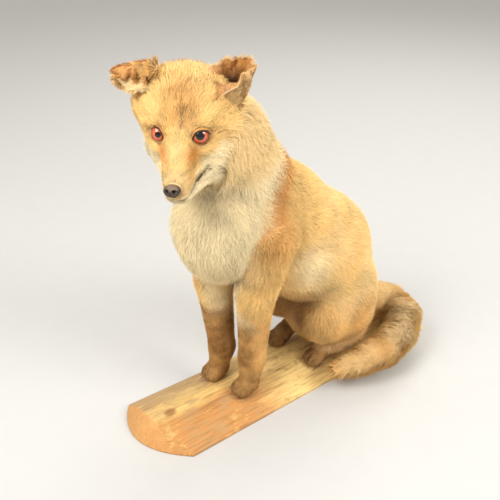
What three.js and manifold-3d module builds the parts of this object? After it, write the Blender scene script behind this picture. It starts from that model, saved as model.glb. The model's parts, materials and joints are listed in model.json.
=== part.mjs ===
// Taxidermy red fox cub, seated on a half-round log slab, head turned to its own left.
// Millimetres, +Z up. The fox faces -Y and its own left is +X.
// The origin is the middle of the slab's flat underside.
//
// The coat's outer surface is one implicit solid: tapered limbs and ovals joined by smooth
// blends. It is faceted region by region, and thin cuts part it into the named pieces.

import * as THREE from 'three';
import { mergeVertices } from 'three/addons/utils/BufferGeometryUtils.js';
import Module from 'manifold-3d';

const wasm = await Module();
wasm.setup();

// ---------------------------------------------------------------- driving dimensions

const GAP = 0.3;
const WELD = 0.05;
const MERGE = 1e-4;
const LEFT = 1;
const RIGHT = -1;

// Log slab: a segment of a round log, its near end bowed and planed to a slope.
const SLAB = {
  near: -163, far: 185.6, nearSkew: 0.16, nearBow: 24,
  halfNear: 50.5, halfFar: 45, farDrift: 5.5,
  crown: 19.5, edge: 3, lip: 1.2, slope: 17, columns: 12, rows: 5,
};

// Regions that the coat is faceted in, each with the size of its facets.
const REGION = {
  trunk: { low: [-80, -130, 10], high: [85, 135, 345], cell: 15 },
  head: { low: [-75, -185, 240], high: [70, -30, 380], cell: 10.2 },
  snout: { low: [-20, -185, 240], high: [72, -84, 340], cell: 6.2 },
  tail: { low: [-30, -10, 5], high: [110, 195, 95], cell: 13 },
  seat: { low: [-45, -25, 5], high: [80, 130, 115], cell: 9 },
};
const LIMB_MARGIN = 6;
const LEG_CELL = 10.2;
const FOOT_CELL = 8.4;
const SETTLE = { passes: 4, step: 0.05, leastSlope: 0.05 };

// Trunk, from the chest back to the seat.
const CHEST = { at: [-11, -73, 206], radii: [46, 46, 52] };
const SHOULDERS = { at: [0, -10, 213], radius: 44 };
const LOIN = { at: [3, 40, 154], radius: 50 };
const SEAT = { at: [5, 61, 94], radius: 53 };
const BELLY = { at: [2, 5, 150], radius: 38 };
const STERN = { at: [5, 64, 60], radii: [47, 44, 40] };
const TRUNK_BLEND = 24;

// Neck, from between the shoulders up into the back of the skull.
const NECK_FOOT = { at: [-6, -48, 237], radius: 49 };
const NECK_HEAD = { at: [-7, -73, 298], radius: 41.5 };
const NECK_BLEND = 20;

// Forelegs: shoulder, elbow, wrist and the ball of the foot.
const FORELEG = {
  [LEFT]: {
    shoulder: [30, -44, 195], elbow: [26, -59, 140], wrist: [22, -60, 60], foot: [21.5, -63, 33],
  },
  [RIGHT]: {
    shoulder: [-30, -55, 190], elbow: [-25, -73, 138], wrist: [-19, -69, 55], foot: [-18.6, -73, 33],
  },
};
const FORELEG_RADII = { shoulder: 25, elbow: 18.5, wrist: 13.5, foot: 12 };
const FOREPAW = { forward: 4, radii: [12.6, 14, 10] };

// Hind legs: hip, knee, heel and the ball of the foot.
const HINDLEG = {
  [LEFT]: { hip: [24, 62, 104], knee: [36, 26, 80], heel: [38, 70, 36], foot: [28, 36, 28] },
  [RIGHT]: { hip: [-16, 62, 104], knee: [-31, 20, 82], heel: [-32, 66, 36], foot: [-25, 24, 28] },
};
const HINDLEG_RADII = { hip: 32, knee: 28, heel: 12, foot: 10.5 };
const HINDPAW = { forward: 6, radii: [11.5, 15, 9] };
const LIMB_BLEND = 14;
const JOINT_BLEND = 6;
const FOOT_BLEND = 4;
const PAW_SINK = 0.6;

// Each foot: four toes side by side, each with one claw.
const TOE = {
  spread: [-8.6, -3.1, 3.1, 8.6], reach: [8, 11, 11, 8], drop: 3, radii: [3.6, 6, 5], blend: 8,
};
const CLAW = { length: 6, radius: 1.3, sides: 5, droop: 1.1, height: 4.4, sunk: 1 };

// Tail: swept round to the fox's left, lying on the slab and over its edge.
const TAIL = [
  { at: [4, 84, 58], radius: 18 },
  { at: [4, 128, 50], radius: 19 },
  { at: [20, 154, 41], radius: 20 },
  { at: [47, 149, 37], radius: 20.5 },
  { at: [67, 122, 35], radius: 20.5 },
  { at: [76, 86, 32.5], radius: 19.5 },
  { at: [72.5, 50, 30.5], radius: 16 },
  { at: [63, 14, 28], radius: 8 },
];
const TAIL_FILLET = { width: 10, reach: 38 };

// Head frame: its origin lies midway between the eyes, and its axes point along the muzzle,
// to the fox's left and up out of the forehead.
const HEAD = { at: [12, -128.3, 315.4], yaw: 45, pitch: 29 };
const CRANIUM = { at: [-36.5, -1.5, -2], radii: [33.5, 43, 35] };
const BROW = { at: [-15, 10, -3], radii: [17, 21, 16] };
const CHEEK = { at: [-15, 17, -23], radii: [22, 18, 20] };
const RUFF = { at: [-18, 27, -34], radii: [16, 10, 13] };
const MUZZLE = { root: [0, 0, -15], tip: [34.5, -0.3, -21.5], rootRadius: 17.5, tipRadius: 10.5 };
const JAW = {
  [LEFT]: { root: [-4, 22, -38], tip: [34, 4.2, -34] },
  [RIGHT]: { root: [-6, -14, -35], tip: [34, -3.3, -33.5] },
};
const JAW_RADII = { root: 12, tip: 7.5 };
const ORBIT = { at: [4.5, 22.6, -1.4], radius: 7, blend: 5 };
const HEAD_BLEND = 12;
const JAW_BLEND = 9;
const NOSE = { at: [44, -0.6, -16.5], radii: [5.2, 7.2, 6.2], columns: 10, rows: 6 };
const EYE = { at: [-3.6, 16.8, -1.4], radius: 8.5, columns: 10, rows: 7 };

// Right ear: a curled sheet that stands out sideways, its upper edge folded over forwards.
const EAR_RIGHT = {
  at: [-45, -25, 28.5], rise: [0.2, -1, 0.03], face: [0.72, 0, 0.69],
  length: 32, baseHalf: 18, tipHalf: 9, tipFlare: 2, baseCurl: 1.1, tipCurl: 0.5,
  foldTurn: 2.6, foldAt: 0.1, foldWidth: 0.35, foldRoot: 0.6, foldRise: 3,
};

// Left ear: an upright cup whose front rim is turned outwards and down as a flap.
const EAR_LEFT = {
  at: [-40, 36, 4], rise: [-0.42, 0.2, 0.88], face: [0.9, -0.12, 0.42],
  baseRadius: 9, rimRadius: 15, back: 36, front: 18, flap: 15,
  flapTurn: 2.7, flapFrom: -3, flapTo: 4,
};
const EAR = { thickness: 2.4, across: 8, along: 6, around: 14 };

// Where the cuts part the coat: planes by a point and a direction, and single levels.
const CUTS = {
  nape: { at: [-6, -72, 285], facing: [-0.09, -0.58, 0.81] },
  collar: { at: [-2, -45, 248], facing: [-0.05, -0.45, 0.89] },
  flank: { at: [0, 2, 180], facing: [0, 0.9, -0.43] },
  waist: { at: [0, 45, 136], facing: [0, 0.45, -0.89] },
  brush: { at: [70, 86, 33], facing: [-0.1, 1, 0] },
  elbow: 150, carpus: 92, ankle: 38, armpit: -24,
  hock: 58, heel: 103, rumpLow: 47, muzzle: 7, mouth: -27.5,
};

// Blocks that part the coat, each by its lowest and highest corner. The last two are in the
// head frame.
const BLOCKS = {
  underChest: [[-90, -140, -5], [90, CUTS.armpit, CUTS.elbow + GAP]],
  underRump: [[-90, -60, -5], [90, CUTS.heel, CUTS.rumpLow]],
  tailRoot: [[-40, 60, 0], [34, 200, 100]],
  snout: [[CUTS.muzzle, -60, -80], [90, 60, 60]],
  jaw: [[-90, -70, -90], [90, 70, CUTS.mouth]],
};

// Blocks on one side of the fox: from an inner to an outer distance, and by their corners.
const HAUNCH = { inner: 30, outer: 90, front: -60, back: 100, low: 47, top: 124 };
const FORELEG_BLOCK = { inner: GAP / 2, outer: 75, front: -112, floor: 5 };
const HINDFOOT_BLOCK = { inner: 2, outer: 70, front: -20, floor: 5 };

// ---------------------------------------------------------------- vectors and distances

const radians = (degrees) => THREE.MathUtils.degToRad(degrees);
const vector = (values) => new THREE.Vector3(...values);

function headAxes() {
  const yaw = radians(HEAD.yaw);
  const pitch = radians(HEAD.pitch);
  const ahead = new THREE.Vector3(
    Math.sin(yaw) * Math.cos(pitch), -Math.cos(yaw) * Math.cos(pitch), -Math.sin(pitch));
  const left = new THREE.Vector3(Math.cos(yaw), Math.sin(yaw), 0);
  const up = new THREE.Vector3().crossVectors(left, ahead).negate();
  if (up.z < 0) up.negate();
  return { ahead, left, up };
}

const HEAD_AXES = headAxes();
const HEAD_MATRIX = new THREE.Matrix4()
  .makeBasis(HEAD_AXES.ahead, HEAD_AXES.left, HEAD_AXES.up)
  .setPosition(vector(HEAD.at));

// A point of the head frame in the fox's own frame.
function fromHead(point) {
  return vector(point).applyMatrix4(HEAD_MATRIX);
}

// A point of the fox's frame in the head frame.
function toHead(x, y, z) {
  const dx = x - HEAD.at[0];
  const dy = y - HEAD.at[1];
  const dz = z - HEAD.at[2];
  return [HEAD_AXES.ahead, HEAD_AXES.left, HEAD_AXES.up].map(
    (axis) => dx * axis.x + dy * axis.y + dz * axis.z);
}

// Distance to a tapered limb with round ends.
function limb(x, y, z, from, to, fromRadius, toRadius) {
  const ax = to[0] - from[0];
  const ay = to[1] - from[1];
  const az = to[2] - from[2];
  const px = x - from[0];
  const py = y - from[1];
  const pz = z - from[2];
  const along = (px * ax + py * ay + pz * az) / (ax * ax + ay * ay + az * az);
  const t = Math.min(1, Math.max(0, along));
  const reach = Math.hypot(px - ax * t, py - ay * t, pz - az * t);
  return reach - (fromRadius + (toRadius - fromRadius) * t);
}

// Distance, close to the surface, to an oval with three radii.
function oval(x, y, z, at, radii) {
  const px = x - at[0];
  const py = y - at[1];
  const pz = z - at[2];
  const near = Math.hypot(px / radii[0], py / radii[1], pz / radii[2]);
  const steep = Math.hypot(px / radii[0] ** 2, py / radii[1] ** 2, pz / radii[2] ** 2);
  return steep > 1e-9 ? near * (near - 1) / steep : -Math.min(...radii);
}

// Union of two distances with a fillet of about the given width.
function blend(a, b, width) {
  const overlap = Math.max(width - Math.abs(a - b), 0) / width;
  return Math.min(a, b) - overlap * overlap * width / 4;
}

// ---------------------------------------------------------------- the coat's outer surface

function trunkField(x, y, z) {
  let d = oval(x, y, z, CHEST.at, CHEST.radii);
  d = blend(d, limb(x, y, z, SHOULDERS.at, LOIN.at, SHOULDERS.radius, LOIN.radius), TRUNK_BLEND);
  d = blend(d, limb(x, y, z, LOIN.at, SEAT.at, LOIN.radius, SEAT.radius), TRUNK_BLEND);
  d = blend(d, limb(x, y, z, BELLY.at, LOIN.at, BELLY.radius, BELLY.radius), TRUNK_BLEND);
  return blend(d, oval(x, y, z, STERN.at, STERN.radii), TRUNK_BLEND);
}

function neckField(x, y, z) {
  return limb(x, y, z, NECK_FOOT.at, NECK_HEAD.at, NECK_FOOT.radius, NECK_HEAD.radius);
}

function headField(x, y, z) {
  const [ahead, left, up] = toHead(x, y, z);
  const aside = Math.abs(left);
  let d = oval(ahead, left, up, CRANIUM.at, CRANIUM.radii);
  d = blend(d, oval(ahead, aside, up, BROW.at, BROW.radii), HEAD_BLEND);
  d = blend(d, oval(ahead, aside, up, CHEEK.at, CHEEK.radii), HEAD_BLEND);
  d = blend(d, oval(ahead, aside, up, RUFF.at, RUFF.radii), HEAD_BLEND);
  const muzzle = limb(
    ahead, left, up, MUZZLE.root, MUZZLE.tip, MUZZLE.rootRadius, MUZZLE.tipRadius);
  d = blend(d, muzzle, HEAD_BLEND);
  for (const side of [LEFT, RIGHT]) {
    const { root: back, tip } = JAW[side];
    d = blend(d, limb(ahead, left, up, back, tip, JAW_RADII.root, JAW_RADII.tip), JAW_BLEND);
  }
  const orbit = Math.hypot(ahead - ORBIT.at[0], aside - ORBIT.at[1], up - ORBIT.at[2]) - ORBIT.radius;
  return -blend(-d, orbit, ORBIT.blend);
}

// Toes stand side by side across the front of a foot, which points along -Y.
function pawField(x, y, z, foot, paw) {
  const middle = [foot[0], foot[1] - paw.forward, slabTop(foot[0], 0) + paw.radii[2] - PAW_SINK];
  let d = oval(x, y, z, middle, paw.radii);
  TOE.spread.forEach((offset, index) => {
    const toe = [middle[0] + offset, middle[1] - TOE.reach[index], middle[2] - TOE.drop];
    d = blend(d, oval(x, y, z, toe, TOE.radii), TOE.blend);
  });
  return d;
}

function forelegField(x, y, z, side) {
  const leg = FORELEG[side];
  const radii = FORELEG_RADII;
  let d = limb(x, y, z, leg.shoulder, leg.elbow, radii.shoulder, radii.elbow);
  d = blend(d, limb(x, y, z, leg.elbow, leg.wrist, radii.elbow, radii.wrist), JOINT_BLEND);
  d = blend(d, limb(x, y, z, leg.wrist, leg.foot, radii.wrist, radii.foot), JOINT_BLEND);
  return blend(d, pawField(x, y, z, leg.foot, FOREPAW), JOINT_BLEND);
}

function thighField(x, y, z, side) {
  const leg = HINDLEG[side];
  return limb(x, y, z, leg.hip, leg.knee, HINDLEG_RADII.hip, HINDLEG_RADII.knee);
}

function hindfootField(x, y, z, side) {
  const leg = HINDLEG[side];
  const foot = limb(x, y, z, leg.heel, leg.foot, HINDLEG_RADII.heel, HINDLEG_RADII.foot);
  return blend(foot, pawField(x, y, z, leg.foot, HINDPAW), JOINT_BLEND);
}

// Each leg blends with the trunk alone, so that two legs never bridge.
function bodyField(x, y, z) {
  const trunk = blend(trunkField(x, y, z), neckField(x, y, z), NECK_BLEND);
  let d = trunk;
  for (const side of [LEFT, RIGHT]) {
    d = Math.min(d, blend(trunk, forelegField(x, y, z, side), LIMB_BLEND));
    const haunch = blend(trunk, thighField(x, y, z, side), LIMB_BLEND);
    d = Math.min(d, blend(haunch, hindfootField(x, y, z, side), FOOT_BLEND));
  }
  return blend(d, headField(x, y, z), NECK_BLEND);
}

function tailLengths(x, y, z) {
  let d = Infinity;
  for (let i = 1; i < TAIL.length; i += 1) {
    const from = TAIL[i - 1];
    const to = TAIL[i];
    d = Math.min(d, limb(x, y, z, from.at, to.at, from.radius, to.radius));
  }
  return d;
}

// The tail with its fillet against the seat, which fades away from the tail's root.
function tailField(x, y, z) {
  const [rootX, rootY, rootZ] = TAIL[0].at;
  const away = Math.max(0, Math.hypot(x - rootX, y - rootY, z - rootZ) - TAIL_FILLET.reach);
  return blend(tailLengths(x, y, z), trunkField(x, y, z) + away, TAIL_FILLET.width);
}

// ---------------------------------------------------------------- faceting

function gradient(field, point) {
  const { step } = SETTLE;
  const [x, y, z] = point;
  return new THREE.Vector3(
    field(x + step, y, z) - field(x - step, y, z),
    field(x, y + step, z) - field(x, y - step, z),
    field(x, y, z + step) - field(x, y, z - step)).divideScalar(2 * step);
}

// Slides a point along the field's slope onto the surface, by no more than half a cell.
function settle(field, point, cell, spare) {
  const start = vector(point);
  const place = start.clone();
  for (let pass = 0; pass < SETTLE.passes; pass += 1) {
    const slope = gradient(field, place.toArray());
    const steep = Math.max(slope.lengthSq(), SETTLE.leastSlope);
    place.addScaledVector(slope, (spare - field(place.x, place.y, place.z)) / steep);
    const move = place.clone().sub(start);
    if (move.length() > cell / 2) place.copy(start).addScaledVector(move.normalize(), cell / 2);
  }
  return place.toArray();
}

// Surface nets: one vertex in each cell that the surface crosses, one quad for each crossed edge.
// The surface lies outside the field's own by the spare distance.
function facet(field, { low, high, cell }, spare = 0) {
  const count = low.map((value, axis) => Math.ceil((high[axis] - value) / cell) + 1);
  const index = (i, j, k) => (k * count[1] + j) * count[0] + i;
  const values = new Float64Array(count[0] * count[1] * count[2]);
  const border = (i, axis) => i === 0 || i === count[axis] - 1;
  for (let k = 0; k < count[2]; k += 1) {
    for (let j = 0; j < count[1]; j += 1) {
      for (let i = 0; i < count[0]; i += 1) {
        const outside = border(i, 0) || border(j, 1) || border(k, 2);
        const here = field(low[0] + i * cell, low[1] + j * cell, low[2] + k * cell) - spare;
        values[index(i, j, k)] = outside ? Math.max(here, cell / 2) : here;
      }
    }
  }
  const vertices = [];
  const vertexOf = new Map();
  const vertexAt = (i, j, k) => {
    const key = index(i, j, k);
    if (vertexOf.has(key)) return vertexOf.get(key);
    const sum = new THREE.Vector3();
    let crossings = 0;
    for (const [axis, u, v] of [[0, 1, 2], [1, 0, 2], [2, 0, 1]]) {
      for (const [du, dv] of [[0, 0], [1, 0], [0, 1], [1, 1]]) {
        const from = [i, j, k];
        from[u] += du;
        from[v] += dv;
        const to = [...from];
        to[axis] += 1;
        const a = values[index(...from)];
        const b = values[index(...to)];
        if ((a < 0) === (b < 0)) continue;
        from[axis] += a / (a - b);
        sum.add(vector(from));
        crossings += 1;
      }
    }
    const middle = sum.divideScalar(crossings).multiplyScalar(cell).add(vector(low));
    vertices.push(...settle(field, middle.toArray(), cell, spare));
    vertexOf.set(key, vertices.length / 3 - 1);
    return vertices.length / 3 - 1;
  };
  const triangles = [];
  const place = (n) => new THREE.Vector3().fromArray(vertices, 3 * n);
  const addQuad = (a, b, c, d) => {
    const shortFirst = place(a).distanceTo(place(c)) <= place(b).distanceTo(place(d));
    triangles.push(...(shortFirst ? [a, b, c, a, c, d] : [b, c, d, b, d, a]));
  };
  for (let k = 0; k < count[2] - 1; k += 1) {
    for (let j = 0; j < count[1] - 1; j += 1) {
      for (let i = 0; i < count[0] - 1; i += 1) {
        const here = values[index(i, j, k)] < 0;
        const cells = [
          [values[index(i + 1, j, k)] < 0, [[i, j - 1, k - 1], [i, j, k - 1], [i, j, k], [i, j - 1, k]]],
          [values[index(i, j + 1, k)] < 0, [[i - 1, j, k - 1], [i - 1, j, k], [i, j, k], [i, j, k - 1]]],
          [values[index(i, j, k + 1)] < 0, [[i - 1, j - 1, k], [i, j - 1, k], [i, j, k], [i - 1, j, k]]],
        ];
        for (const [there, around] of cells) {
          if (here === there) continue;
          const ring = around.map((corner) => vertexAt(...corner));
          if (here) addQuad(...ring);
          else addQuad(...ring.reverse());
        }
      }
    }
  }
  return solid(Float32Array.from(vertices), Uint32Array.from(triangles));
}

// ---------------------------------------------------------------- solids

function solid(vertProperties, triVerts) {
  const mesh = new wasm.Mesh({ numProp: 3, vertProperties, triVerts });
  return new wasm.Manifold(mesh);
}

// A closed three.js geometry as a solid.
function solidOf(source) {
  const geometry = source.clone();
  geometry.deleteAttribute('normal');
  geometry.deleteAttribute('uv');
  const merged = mergeVertices(geometry, MERGE);
  return solid(new Float32Array(merged.attributes.position.array), new Uint32Array(merged.index.array));
}

// A solid as a geometry. Vertices closer than the weld are one, and the faces that close up
// with them are left out.
function geometryOf(body) {
  const { numProp, vertProperties, triVerts } = body.getMesh();
  const corners = new Map();
  const cornerOf = (vertex) => {
    const place = Array.from(vertProperties.slice(numProp * vertex, numProp * vertex + 3));
    const key = place.map((value) => Math.round(value / WELD)).join();
    if (!corners.has(key)) corners.set(key, { number: corners.size, place });
    return corners.get(key);
  };
  const positions = [];
  for (let n = 0; n < triVerts.length; n += 3) {
    const face = [0, 1, 2].map((corner) => cornerOf(triVerts[n + corner]));
    const distinct = new Set(face.map(({ number }) => number)).size;
    if (distinct === 3) positions.push(...face.flatMap(({ place }) => place));
  }
  const geometry = new THREE.BufferGeometry();
  geometry.setAttribute('position', new THREE.Float32BufferAttribute(positions, 3));
  geometry.computeVertexNormals();
  return geometry;
}

// The largest body of a cut solid; slivers that a cut leaves are dropped.
function largest(body) {
  const pieces = body.decompose();
  return pieces.reduce((best, piece) => (piece.volume() > best.volume() ? piece : best));
}

function blockGeometry([low, high]) {
  const size = high.map((value, axis) => value - low[axis]);
  const geometry = new THREE.BoxGeometry(...size);
  return geometry.translate(...low.map((value, axis) => value + size[axis] / 2));
}

// A block between two corners.
function block(corners) {
  return solidOf(blockGeometry(corners));
}

// The block of the head frame between two corners.
function headBlock(corners) {
  return solidOf(blockGeometry(corners).applyMatrix4(HEAD_MATRIX));
}

// Two corners moved apart by the gap.
function grown([low, high]) {
  return [low.map((value) => value - GAP), high.map((value) => value + GAP)];
}

const WIDE = 700;

// Everything on the far side of a plane through a point, along the plane's normal.
function beyond(point, normal, shift = 0) {
  const geometry = new THREE.BoxGeometry(WIDE, WIDE, WIDE);
  const facing = vector(normal).normalize();
  const turn = new THREE.Quaternion().setFromUnitVectors(new THREE.Vector3(0, 0, 1), facing);
  const middle = vector(point).addScaledVector(facing, WIDE / 2 + shift);
  geometry.applyMatrix4(new THREE.Matrix4().compose(middle, turn, new THREE.Vector3(1, 1, 1)));
  return solidOf(geometry);
}

// Parts a solid at a plane: what lies beyond it, and what stays, a gap apart.
function partAt(body, point, normal) {
  const far = largest(body.intersect(beyond(point, normal, GAP / 2)));
  const near = largest(body.subtract(beyond(point, normal, -GAP / 2)));
  return [far, near];
}

// Parts a solid by a block: what lies inside it, and what stays, a gap apart.
function partBy(body, corners) {
  const inner = largest(body.intersect(block(corners)));
  return [inner, largest(body.subtract(block(grown(corners))))];
}

// ---------------------------------------------------------------- the slab

// Height of the slab's round top at a distance out from its middle line.
function slabTop(out, lift) {
  const rise = SLAB.crown - SLAB.edge;
  const radius = (SLAB.halfNear ** 2 + rise ** 2) / (2 * rise);
  return SLAB.crown - (radius - Math.sqrt(radius ** 2 - out ** 2)) + lift;
}

// The slab as rows of points across its top, from the near edge to the far end.
function slabSolid(lift = 0) {
  const top = [];
  for (let row = 0; row <= SLAB.rows; row += 1) {
    const line = [];
    for (let column = 0; column <= SLAB.columns; column += 1) {
      const across = 2 * column / SLAB.columns - 1;
      const nearX = across * SLAB.halfNear;
      const farX = across * SLAB.halfFar + SLAB.farDrift;
      const bow = SLAB.nearBow * (1 - across * across);
      const chord = SLAB.near + SLAB.nearSkew * nearX;
      const height = slabTop(nearX, lift);
      if (row === 0) {
        line.push([nearX, chord - bow - lift, SLAB.lip + lift]);
        continue;
      }
      const climbed = (height - lift - SLAB.lip) / (SLAB.crown - SLAB.lip);
      const start = chord - bow + SLAB.slope * climbed;
      const t = (row - 1) / (SLAB.rows - 1);
      line.push([nearX + (farX - nearX) * t, start + (SLAB.far - start) * t, height]);
    }
    top.push(line);
  }
  return heightSolid(top);
}

// Closes a sheet of points, given as rows, down to the floor.
function heightSolid(rows) {
  const width = rows[0].length;
  const vertices = [];
  for (const line of rows) for (const [x, y, z] of line) vertices.push(x, y, z);
  for (const line of rows) for (const [x, y] of line) vertices.push(x, y, 0);
  const under = rows.length * width;
  const triangles = [];
  const addQuad = (a, b, c, d) => triangles.push(a, b, c, a, c, d);
  for (let r = 0; r + 1 < rows.length; r += 1) {
    for (let c = 0; c + 1 < width; c += 1) {
      const a = r * width + c;
      addQuad(a, a + 1, a + width + 1, a + width);
      addQuad(under + a, under + a + width, under + a + width + 1, under + a + 1);
    }
    const first = r * width;
    addQuad(first, first + width, under + first + width, under + first);
    const last = first + width - 1;
    addQuad(last, under + last, under + last + width, last + width);
  }
  for (let c = 0; c + 1 < width; c += 1) {
    addQuad(c, under + c, under + c + 1, c + 1);
    const end = (rows.length - 1) * width + c;
    addQuad(end, end + 1, under + end + 1, under + end);
  }
  return solid(Float32Array.from(vertices), Uint32Array.from(triangles));
}

// ---------------------------------------------------------------- ears

// Unit axes of an ear: up along it, out across it and ahead out of its opening.
function earAxes({ rise, face }) {
  const origin = fromHead([0, 0, 0]);
  const up = fromHead(rise).sub(origin).normalize();
  const out = new THREE.Vector3().crossVectors(up, fromHead(face).sub(origin)).normalize();
  const ahead = new THREE.Vector3().crossVectors(out, up);
  return { up, out, ahead };
}

// The right ear as rows of points: each section is an arc drawn by its turning angle, and a
// steep turn towards its upper edge folds that edge over.
function rightEarSheet(ear) {
  const { up, out, ahead } = earAxes(ear);
  const rows = [];
  for (let row = 0; row <= EAR.along; row += 1) {
    const t = row / EAR.along;
    const taper = Math.sqrt(Math.max(0, 1 - t ** 3));
    const tipHalf = ear.tipHalf * (1 - t);
    const half = tipHalf + (ear.baseHalf - tipHalf) * taper + ear.tipFlare * t;
    const curl = ear.baseCurl + (ear.tipCurl - ear.baseCurl) * t;
    const step = 2 * half / EAR.across;
    const section = [[0, 0]];
    for (let column = 0; column < EAR.across; column += 1) {
      const s = 2 * (column + 0.5) / EAR.across - 1;
      const folded = THREE.MathUtils.smoothstep(s, ear.foldAt, ear.foldAt + ear.foldWidth);
      const share = ear.foldRoot + (1 - ear.foldRoot) * Math.min(1, ear.foldRise * t);
      const angle = curl * s + ear.foldTurn * folded * share;
      const [across, depth] = section[column];
      section.push([across + Math.cos(angle) * step, depth + Math.sin(angle) * step]);
    }
    const [midAcross, midDepth] = section[EAR.across / 2];
    rows.push(section.map(([across, depth]) => fromHead(ear.at)
      .addScaledVector(up, ear.length * t)
      .addScaledVector(out, across - midAcross)
      .addScaledVector(ahead, depth - midDepth)));
  }
  return rows;
}

// The left ear as rows of points round a cup: each profile climbs the wall by its turning
// angle, and in front it turns outwards and runs down again as the flap.
function leftEarCup(ear) {
  const { up, out, ahead } = earAxes(ear);
  const rows = Array.from({ length: EAR.along + 1 }, () => []);
  const slope = Math.atan2(ear.rimRadius - ear.baseRadius, ear.front);
  for (let column = 0; column < EAR.around; column += 1) {
    const around = 2 * Math.PI * column / EAR.around;
    const frontness = 0.5 + 0.5 * Math.cos(around);
    const lip = frontness ** 2;
    const wall = ear.back + (ear.front - ear.back) * frontness;
    const whole = wall + ear.flap * lip;
    let radius = ear.baseRadius;
    let height = 0;
    for (let row = 0; row <= EAR.along; row += 1) {
      rows[row].push(fromHead(ear.at)
        .addScaledVector(up, height)
        .addScaledVector(ahead, Math.cos(around) * radius)
        .addScaledVector(out, Math.sin(around) * radius));
      const s = (row + 0.5) / EAR.along * whole;
      const over = THREE.MathUtils.smoothstep(s, wall + ear.flapFrom, wall + ear.flapTo);
      const turn = ear.flapTurn * lip * over;
      const lean = slope * THREE.MathUtils.clamp(1 - s / ear.back, 0, 1) + turn;
      radius += Math.sin(lean) * whole / EAR.along;
      height += Math.cos(lean) * whole / EAR.along;
    }
  }
  return rows;
}

// A sheet of points, open or closed round its columns, with an even thickness and its rims.
function sheetSolid(rows, thickness, ring = false) {
  const height = rows.length;
  const width = rows[0].length;
  const wrap = (c) => (ring ? (c + width) % width : THREE.MathUtils.clamp(c, 0, width - 1));
  const at = (r, c) => rows[THREE.MathUtils.clamp(r, 0, height - 1)][wrap(c)];
  const vertices = [];
  for (const sign of [0.5, -0.5]) {
    for (let r = 0; r < height; r += 1) {
      for (let c = 0; c < width; c += 1) {
        const along = at(r + 1, c).clone().sub(at(r - 1, c));
        const across = at(r, c + 1).clone().sub(at(r, c - 1));
        const normal = new THREE.Vector3().crossVectors(across, along).normalize();
        vertices.push(...at(r, c).clone().addScaledVector(normal, sign * thickness).toArray());
      }
    }
  }
  const back = height * width;
  const triangles = [];
  const addQuad = (a, b, c, d) => triangles.push(a, b, c, a, c, d);
  const spans = ring ? width : width - 1;
  for (let r = 0; r + 1 < height; r += 1) {
    for (let c = 0; c < spans; c += 1) {
      const a = r * width + c;
      const b = r * width + wrap(c + 1);
      addQuad(a, b, b + width, a + width);
      addQuad(back + a, back + a + width, back + b + width, back + b);
    }
    if (ring) continue;
    const last = r * width + width - 1;
    addQuad(r * width, (r + 1) * width, back + (r + 1) * width, back + r * width);
    addQuad(last, back + last, back + last + width, last + width);
  }
  for (let c = 0; c < spans; c += 1) {
    const end = (height - 1) * width;
    addQuad(c, back + c, back + wrap(c + 1), wrap(c + 1));
    addQuad(end + c, end + wrap(c + 1), back + end + wrap(c + 1), back + end + c);
  }
  return solid(Float32Array.from(vertices), Uint32Array.from(triangles));
}

// ---------------------------------------------------------------- small parts

// An oval solid lying along the head frame's axes.
function headOval(at, radii, spare, { columns, rows }) {
  const geometry = new THREE.SphereGeometry(1, columns, rows);
  geometry.scale(...radii.map((radius) => radius + spare));
  geometry.translate(...at);
  geometry.applyMatrix4(HEAD_MATRIX);
  return solidOf(geometry);
}

function eyeball(side, spare = 0) {
  const { at, radius } = EYE;
  return headOval([at[0], at[1] * side, at[2]], [radius, radius, radius], spare, EYE);
}

function nosePad(spare = 0) {
  return headOval(NOSE.at, NOSE.radii, spare, NOSE);
}

// A claw at the tip of each toe of a foot, pointing forwards and down.
function withClaws(body, foot, paw) {
  let clawed = body;
  TOE.spread.forEach((offset, index) => {
    const reach = paw.forward + TOE.reach[index] + TOE.radii[1];
    const geometry = new THREE.ConeGeometry(CLAW.radius, CLAW.length, CLAW.sides);
    const height = slabTop(foot[0], 0) + CLAW.height;
    geometry.rotateX(Math.PI + CLAW.droop);
    geometry.translate(foot[0] + offset, foot[1] - reach + CLAW.sunk, height);
    clawed = clawed.add(solidOf(geometry));
  });
  return clawed;
}

// ---------------------------------------------------------------- pieces

const ROUGHNESS = { fur: 0.9, leather: 0.7, wood: 0.6, nose: 0.5, glass: 0.1 };
const TINTS = {
  golden: 0xcf9c5a, cream: 0xd9c69c, tan: 0xc08a4c, brown: 0x8d5c34,
  leather: 0xa8662f, nose: 0x3a2b26, glass: 0x9c3a1e, wood: 0xcda678,
};
const fox = new THREE.Group();

function addPiece(name, body, tint, roughness = ROUGHNESS.fur) {
  const material = new THREE.MeshStandardMaterial({ color: TINTS[tint], roughness, metalness: 0 });
  const mesh = new THREE.Mesh(geometryOf(body), material);
  mesh.name = name;
  fox.add(mesh);
}

const sideName = (side) => (side === LEFT ? 'left' : 'right');

// A block on one side of the fox, from its middle line outwards.
function sideBlock(side, { inner, outer }, low, high) {
  const xs = [inner * side, outer * side].sort((a, b) => a - b);
  return [[xs[0], low[0], low[1]], [xs[1], high[0], high[1]]];
}

// The region to facet round a block, so that the block cuts every face of it.
function around([low, high], cell) {
  const wider = (values, margin) => values.map((value) => value + margin);
  return { low: wider(low, -LIMB_MARGIN), high: wider(high, LIMB_MARGIN), cell };
}

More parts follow.
